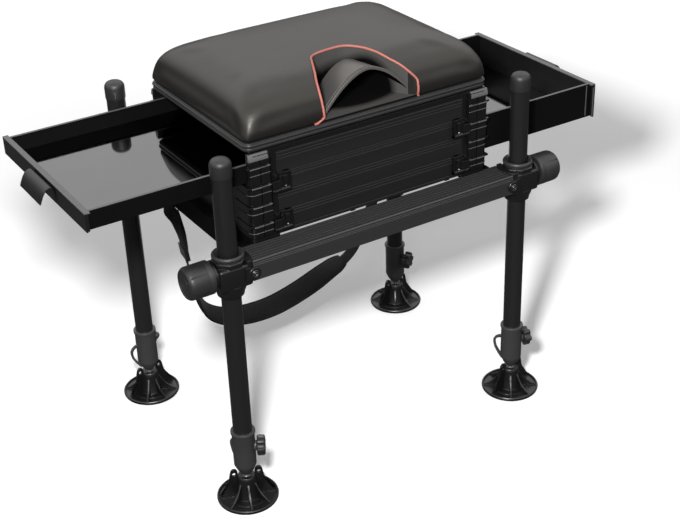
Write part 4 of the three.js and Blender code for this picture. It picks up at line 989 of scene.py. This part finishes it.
def stuff(cushion):
    """The padding pressed out against its cover, then held to a largest move and smoothed."""
    remesh = cushion.modifiers.new("even", "REMESH")
    remesh.mode, remesh.voxel_size = "VOXEL", 0.006
    rest = np.array([v.co for v in evaluated(cushion).vertices])
    low = rest[:, 2].min()
    group = cushion.vertex_groups.new(name="sewn")
    group.add([i for i, p in enumerate(rest) if p[2] < low + 0.008], 1.0, "REPLACE")
    cloth = cushion.modifiers.new("padding", "CLOTH")
    cloth.settings.use_pressure = True
    cloth.settings.uniform_pressure_force = 4
    cloth.settings.vertex_group_mass = "sewn"
    cloth.settings.effector_weights.gravity = 0
    cloth.settings.quality = 5
    cloth.point_cache.frame_start, cloth.point_cache.frame_end = 1, FILLING_STEPS
    for number in range(1, FILLING_STEPS + 1):
        scene.frame_set(number)
    done = evaluated(cushion)
    step = np.array([v.co for v in done.vertices]) - rest
    length = np.linalg.norm(step, axis=1, keepdims=True)
    kept = rest + step * np.minimum(1, LARGEST_PRESS / np.maximum(length, 1e-9))
    kept[:, 2] = np.maximum(kept[:, 2], low)
    done.vertices.foreach_set("co", kept.astype(np.float32).ravel())
    scene.frame_set(1)
    work = bmesh.new()
    work.from_mesh(done)
    for _ in range(3):
        bmesh.ops.smooth_vert(
            work, verts=[v for v in work.verts if v.co.z > low + 0.004], factor=0.5,
            use_axis_x=True, use_axis_y=True, use_axis_z=True,
        )
    work.to_mesh(done)
    work.free()


# The recess seen from above, from its left foot to its right one: across, and back from the front.
FRONT = -160.0
LEFT_FOOT, RIGHT_FOOT = -84, 82.4
RECESS = [
    (LEFT_FOOT, 0), (-84, 6.5), (-82.6, 15.5), (-79, 26), (-74, 37), (-66.8, 54), (-60, 69), (-56.5, 76),
    (-51.5, 81.5), (-44, 85.5), (-30, 88.6), (-15, 90.2), (0, 90.2), (8, 88.6), (15, 85), (21.5, 79),
    (26.6, 73), (31.5, 66), (41.5, 47.5), (51.5, 30), (61.5, 17), (70, 9), (76.5, 4.5), (80.5, 2),
    (RIGHT_FOOT, 0),
]


def floor_at(y):
    return CUSHION_LOW + 4 + 9 * (y - FRONT) / 90


def cut_recess(cushion):
    outline = [(x, FRONT + depth) for x, depth in reversed(RECESS)]
    outline += [(LEFT_FOOT, FRONT - 40), (RIGHT_FOOT, FRONT - 40)]
    low = [(x, y, floor_at(y)) for x, y in outline]
    high = [(x, y, CUSHION_LOW + 110) for x, y in outline]
    tool = put("recess_tool", make_mesh("recess_tool", Shape().rings([low, high])))
    face_outward(tool.data)
    cut = cushion.modifiers.new("recess", "BOOLEAN")
    cut.object, cut.operation, cut.solver = tool, "DIFFERENCE", "EXACT"
    bpy.context.view_layer.update()
    evaluated(cushion)
    bpy.data.objects.remove(tool)


def build_cushion():
    cushion = put("cushion", make_mesh("cushion", cushion_shape(FILLING_ROOM)))
    face_outward(cushion.data)
    stuff(cushion)
    finer = cushion.modifiers.new("finer", "SUBSURF")
    finer.levels = finer.render_levels = 1
    evaluated(cushion)
    skin = BVHTree.FromObject(cushion, bpy.context.evaluated_depsgraph_get())
    cut_recess(cushion)
    cushion.data.materials.clear()
    for material in (LEATHER, RECESS_PAINTED_LIGHT_AND_SHADE):
        cushion.data.materials.append(material)
    paint_recess(cushion, skin)
    cushion.data.polygons.foreach_set("use_smooth", [True] * len(cushion.data.polygons))
    cushion.data.set_sharp_from_angle(angle=math.radians(38))
    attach(cushion, "lid")
    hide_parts("seat_cushion")
    build_piping(skin)
    build_loop()


def paint_recess(cushion, skin):
    """The recess gets a lighter colour than the seat as painted light, with painted shade under the loop: all
    that lies well inside the uncut skin.
    """
    depth = 3.5
    for face in cushion.data.polygons:
        x, y, z = (place / MM for place in face.center)
        x -= SHIFT
        if abs(x) < 88 and y < FRONT + 93 and z > CUSHION_LOW + 2:
            buried = drop_on(skin, x, y) - z > depth and y > front_on(skin, x, z) + depth
            face.material_index = int(buried)


def drop_on(skin, x, y):
    """The cushion's height at a place, from above, in millimetres."""
    hit = skin.ray_cast(Vector(((x + SHIFT) * MM, y * MM, 1.0)), Vector((0, 0, -1)))
    return hit[0].z / MM if hit[0] else CUSHION_LOW


def front_on(skin, x, z):
    """The cushion's front at a place, in millimetres."""
    hit = skin.ray_cast(Vector(((x + SHIFT) * MM, -1.0, z * MM)), Vector((0, 1, 0)))
    return hit[0].y / MM if hit[0] else FRONT


def build_piping(skin):
    """A cord from foot to foot: curled under at each end, up the front and over the recess's edge."""
    ends = []
    for x, curl, tops in (
        (LEFT_FOOT, (-99, -94, -89.5), (599, 605, 611, 617, 622)),
        (RIGHT_FOOT, (84.5, 83.6, 83), (599, 605, 611, 617)),
    ):
        foot = [(at, front_on(skin, at, 592) - 1.6, z) for at, z in zip(curl, (591.3, 591.8, 594))]
        ends.append(foot + [(x, front_on(skin, x, height) - 1.0, height) for height in tops])
    over = []
    for x, depth in RECESS[1:-3]:
        y = FRONT + depth
        over.append((x, y + 0.4, drop_on(skin, x + (-1.2 if x < 0 else 1.2), y + 0.8) + 1.0))
    shape, uv = tube_along(smooth_path(ends[0] + over + ends[1][::-1], 260), 1.8, 12)
    piece("piping", shape, PIPING, "lid", ["cushion_piping"], uv=uv, smooth=60)


LOOP_FRONT, LOOP_BACK = -150.0, -86.0


def loop_section(share):
    """The carry loop at a share of its way back: place, half span, foot height, rise and roundness."""
    y = LOOP_FRONT + (LOOP_BACK - LOOP_FRONT) * share
    return y, 81 - 25 * share, floor_at(y) + 0.3, 57.6 - 12.5 * share, 1.76 + 0.2 * share


def arch_point(section, along, inset=0.0):
    """A place on the arch: along runs from -1 at the left foot to 1 at the right foot."""
    y, half, base, rise, power = section
    across = math.copysign(1 - (1 - abs(along)) ** 1.15, along)
    x, z = across * half, rise * (1 - abs(across) ** power)
    slope = -power * rise / half * abs(across) ** (power - 1) * (1 if across > 0 else -1)
    length = math.hypot(1, slope)
    x, z = x + inset * slope / length, z - inset / length
    return (x, y, base + max(z, 0.0 if inset else z))


def loop_line(share, inset, reach, count):
    section = loop_section(share)
    return [Vector(arch_point(section, along, inset)) for along in np.linspace(-reach, reach, count)]


def build_loop():
    thick, steps, lanes = 3.4, 64, 14
    sections = [loop_section(lane / lanes) for lane in range(lanes + 1)]
    rings = []
    for step in range(steps + 1):
        spot = 2 * step / steps - 1
        rings.append(
            [arch_point(section, spot) for section in sections]
            + [arch_point(section, spot, thick) for section in reversed(sections)]
        )
    # The loop's lighter leatherette is painted light.
    loop = piece(
        "loop", Shape().rings(rings), LOOP_LEATHER_PAINTED_LIGHT, "lid", ["carry_loop"],
        bevel=1.0, smooth=50,
    )
    # Faces turned in under the arch take the near-black copy: painted shade under the loop.
    loop.data.materials.append(UNDERSIDE_PAINTED_SHADE)
    for face in loop.data.polygons:
        inward = Vector((SHIFT * MM - face.center.x, 0, (CUSHION_LOW - 20) * MM - face.center.z))
        face.material_index = int(face.normal.dot(inward.normalized()) > 0.3)
    welt = Shape()
    for share, radius in ((0.015, 1.1), (0.13, 0.55)):
        welt.join(tube_along(loop_line(share, -0.2, 0.97, 80), radius, 8)[0])
    piece("loop_welt", welt, LOOP_LEATHER_PAINTED_LIGHT, "lid", smooth=60)
    stitches = Shape()
    for share in (0.065, 0.105):
        path = loop_line(share, -0.1, 0.95, 88)
        for first, second in zip(path[::2], path[1::2]):
            middle = (first + second) / 2 + Vector((0, 0, 0.35))
            stitches.join(tube_along([first, middle, second], 0.4, 6)[0])
    piece("loop_stitches", stitches, THREAD, "lid", smooth=60)


def build_lid_edge():
    """The board under the cushion: a beaded rim, a flat band and a stepped foot."""
    profile = [
        (3.0, 575.0), (3.0, 576.6), (0.4, 577.2), (-0.2, 578.4), (0.0, 580.4), (0.5, 581.0), (0.5, 583.0),
        (-0.9, 583.8), (-1.4, 585.2), (-0.9, 586.6), (0.4, 587.2), (0.6, 588.6), (2.0, 589.3),
    ]
    rings = []
    for inset, height in profile:
        ring = rounded_rect(214.5 - inset, 156 - inset, 13 - inset, 10)
        rings.append([(x, y + BOX_MID, height) for x, y in ring])
    piece("lid_rim", Shape().rings(rings), LID_PLASTIC, "lid", ["lid_base"], bevel=0.3, smooth=25)


# Shoulder strap: places in X and Z in the plane it hangs in, and its turn in degrees by share of its length

STRAP_Y, SIDE_BAR_X = 100, 216
STRAP_WIDE, PAD_WIDE = 25, 44
STRAP_STEPS, TAIL_STEPS, PAD_STEPS = 160, (3, 23), (40, 110)
STRAP = [
    (-225, 395.7), (-225.6, 383), (-219, 356), (-213.4, 328), (-209, 300), (-205, 268), (-201, 234),
    (-194.5, 202), (-181, 174), (-152, 152), (-112, 140), (-77, 136.6), (-46, 138), (-15, 144), (19, 153.4),
    (62, 169), (100, 184), (122, 202), (141, 236), (175, 300), (205, 364.6), (216.7, 395.7),
]
TWIST = [
    (0, 0), (0.02, -55), (0.053, -14), (0.09, 2), (0.125, 8), (0.15, 10), (0.175, 24), (0.3, 22), (0.6, 18),
    (0.65, 8), (0.7, 0), (1, 0),
]


def strap_frames(path):
    """For each point of the path: the direction across the band and the one out of its face."""
    places, turns = zip(*TWIST)
    frames = []
    for i in range(len(path)):
        ahead = heading(path, i)
        out = Vector((-ahead.z, 0, ahead.x)).normalized()
        angle = math.radians(float(np.interp(i / (len(path) - 1), places, turns)))
        turn = Matrix.Rotation(angle, 3, ahead)
        frames.append((turn @ Vector((0, 1, 0)), turn @ out))
    return frames


def build_strap():
    path = smooth_path([(x, STRAP_Y, z) for x, z in STRAP], STRAP_STEPS)
    frames = strap_frames(path)
    across = [wide for wide, _ in frames]
    widths = [STRAP_WIDE] * len(path)
    shape, uv = ribbon(path, across, widths, 1.8)
    piece("strap", shape, WEBBING, "frame", ["strap_webbing"], uv=uv, smooth=50)
    first, last = TAIL_STEPS
    stand = [1.6 + 4.5 * math.sin(math.pi * (i - first) / 19) for i in range(first, last)]
    doubled = [path[first + i] + frames[first + i][1] * off for i, off in enumerate(stand)]
    shape, uv = ribbon(doubled, across[first:last], widths, 1.4)
    piece("strap_tail", shape, WEBBING, uv=uv, smooth=50)
    wraps = Shape()
    outer, inner = rounded_rect(12.3, 19.05, 2.2, 4), rounded_rect(10.4, 17.1, 0.8, 4)
    near, far = STRAP_Y - STRAP_WIDE / 2, STRAP_Y + STRAP_WIDE / 2
    for sx in (-1, 1):
        wraps.rings([
            [(x + sx * SIDE_BAR_X, y, z + RAIL_MID) for x, z in ring]
            for ring, y in ((outer, near), (outer, far), (inner, far), (inner, near))
        ], closed=True)
    piece("strap_wraps", wraps, WEBBING, bevel=0.3)
    first, last = PAD_STEPS
    pad_path = [path[i] + frames[i][1] * 3.8 for i in range(first, last)]
    count = len(pad_path)
    widths = [PAD_WIDE * min(1, 0.6 + 0.4 * (min(i, count - 1 - i) / 4) ** 0.5) for i in range(count)]
    shape, uv = ribbon(pad_path, across[first:last], widths, 3.4, crown=0.8, lanes=12)
    pad = piece("shoulder_pad", shape, PAD_WEBBING, "frame", ["strap_pad"], uv=uv, smooth=50)
    edge = Shape()
    for side in (-1, 1):
        line = [spot + across[first + i] * (widths[i] / 2 - 1.2) * side for i, spot in enumerate(pad_path)]
        edge.join(tube_along(line, 1.7, 8)[0])
    piece("shoulder_pad_edge", edge, WEBBING, smooth=60)


# Stage and light

FLOOR_HALF = 2.5
FLOOR_GLOW, FLOOR_DARK, FLOOR_BRIGHT, FLOOR_DULL = 0.4, 0.1, 1.0, 0.08
SKY_FILL, SKY_GLOSS = 0.4, 1.5
LAMP_PLACE, LAMP_POWER, LAMP_RADIUS = (-0.847, -1.14, 1.307), 44, 0.09
SKY_BAND = [(0.0, 0.04), (0.12, 0.14), (0.3, 0.7), (0.5, 1.0), (0.8, 1.0), (1.0, 0.7)]


def by_ray(tree, other, mirrored, seen, out):
    """One shader for the camera's own rays, one for mirrored ones and one for all other light."""
    path = tree.nodes.new("ShaderNodeLightPath")
    for ray, shader in (("Is Glossy Ray", mirrored), ("Is Camera Ray", seen)):
        mix = tree.nodes.new("ShaderNodeMixShader")
        for socket, source in zip(mix.inputs, (path.outputs[ray], other, shader)):
            tree.links.new(source, socket)
        other = mix.outputs[0]
    tree.links.new(other, out.inputs[0])


def build_stage():
    """A floor that is white to the camera, dark to all other light, and bright behind the part in mirrors."""
    floor = bpy.data.meshes.new("floor")
    corners = [(x * FLOOR_HALF, y * FLOOR_HALF, 0) for x, y in ((-1, -1), (1, -1), (1, 1), (-1, 1))]
    floor.from_pydata(corners, [], [[0, 1, 2, 3]])
    made = Finish("floor", grey(0.95), 1.0, Specular_IOR_Level=0.0, Emission_Strength=FLOOR_GLOW)
    away = made.vector("LENGTH", made.place(), out="Value")
    made.vary(Emission_Color=made.span(away, 1.15, 2.4, 0.28, 1.0, "SMOOTHSTEP"))
    reach = made.place((1, 1, 0), (0, 0, math.radians(-YAW)))
    behind = made.span(made.part_of(reach, "Y"), 0.35, 0.75)
    beside = made.span(made.part_of(reach, "X").size(), 0.8, 0.45)
    dark, bright = (made.node("ShaderNodeEmission", {}, {1: level}) for level in (FLOOR_DARK, FLOOR_BRIGHT))
    mirrored = made.node("ShaderNodeMixShader", {}, {0: behind * beside, 1: dark, 2: bright})
    other = made.node("ShaderNodeBsdfDiffuse", {}, {0: (*grey(FLOOR_DULL), 1)})
    output = made.tree.nodes["Material Output"]
    by_ray(made.tree, other.socket, mirrored.socket, made.shader.outputs[0], output)
    floor.materials.append(made.material)
    ground = put("floor", floor)


def set_stops(ramp, stops):
    while len(ramp.elements) < len(stops):
        ramp.elements.new(1)
    for element, (place, level) in zip(ramp.elements, stops):
        element.position, element.color = place, (*grey(level), 1)


def build_world():
    """White to the camera, a bright band above the horizon in reflections, dim for everything else."""
    world = bpy.data.worlds.new("studio")
    scene.world = world
    world.use_nodes = True
    tree = world.node_tree
    tree.nodes.clear()
    split = tree.nodes.new("ShaderNodeSeparateXYZ")
    tree.links.new(tree.nodes.new("ShaderNodeTexCoord").outputs["Generated"], split.inputs[0])
    ramp = tree.nodes.new("ShaderNodeValToRGB")
    set_stops(ramp.color_ramp, SKY_BAND)
    tree.links.new(split.outputs[2], ramp.inputs[0])
    shades = [tree.nodes.new("ShaderNodeBackground") for _ in range(3)]
    for shade, strength in zip(shades, (SKY_FILL, SKY_GLOSS, 1.0)):
        shade.inputs[0].default_value = (1, 1, 1, 1)
        shade.inputs[1].default_value = strength
    tree.links.new(ramp.outputs[0], shades[1].inputs[0])
    by_ray(tree, *(shade.outputs[0] for shade in shades), tree.nodes.new("ShaderNodeOutputWorld"))


def add_lamp():
    """A soft studio lamp whose light doesn't fade over the small set."""
    data = bpy.data.lights.new("studio_lamp", "POINT")
    data.energy, data.shadow_soft_size = LAMP_POWER, LAMP_RADIUS
    data.use_nodes = True
    tree = data.node_tree
    fade = tree.nodes.new("ShaderNodeLightFalloff")
    fade.inputs["Strength"].default_value = 1.0
    tree.links.new(fade.outputs["Constant"], tree.nodes["Emission"].inputs["Strength"])
    lamp = put("studio_lamp", data)
    lamp.location = LAMP_PLACE
    lamp.visible_camera = False


build_legs()
build_clamps()
build_rails()
build_corners()
build_latches()
build_panels()
build_trays()
build_cushion()
build_lid_edge()
build_strap()

dress(POST_PLASTIC, "base_module", "drawer_module", "top_module")
# The side bars get the painted-shade black.
dress(BAR_PAINTED_SHADE, "left_side_bar", "right_side_bar")
dress(STEEL, "hinge_fixed_leaf", "hinge_moving_leaf", "hinge_pin")
dress(PLASTIC, "strap_adjuster")

build_stage()
build_world()
add_lamp()
scene.view_settings.view_transform = "Standard"
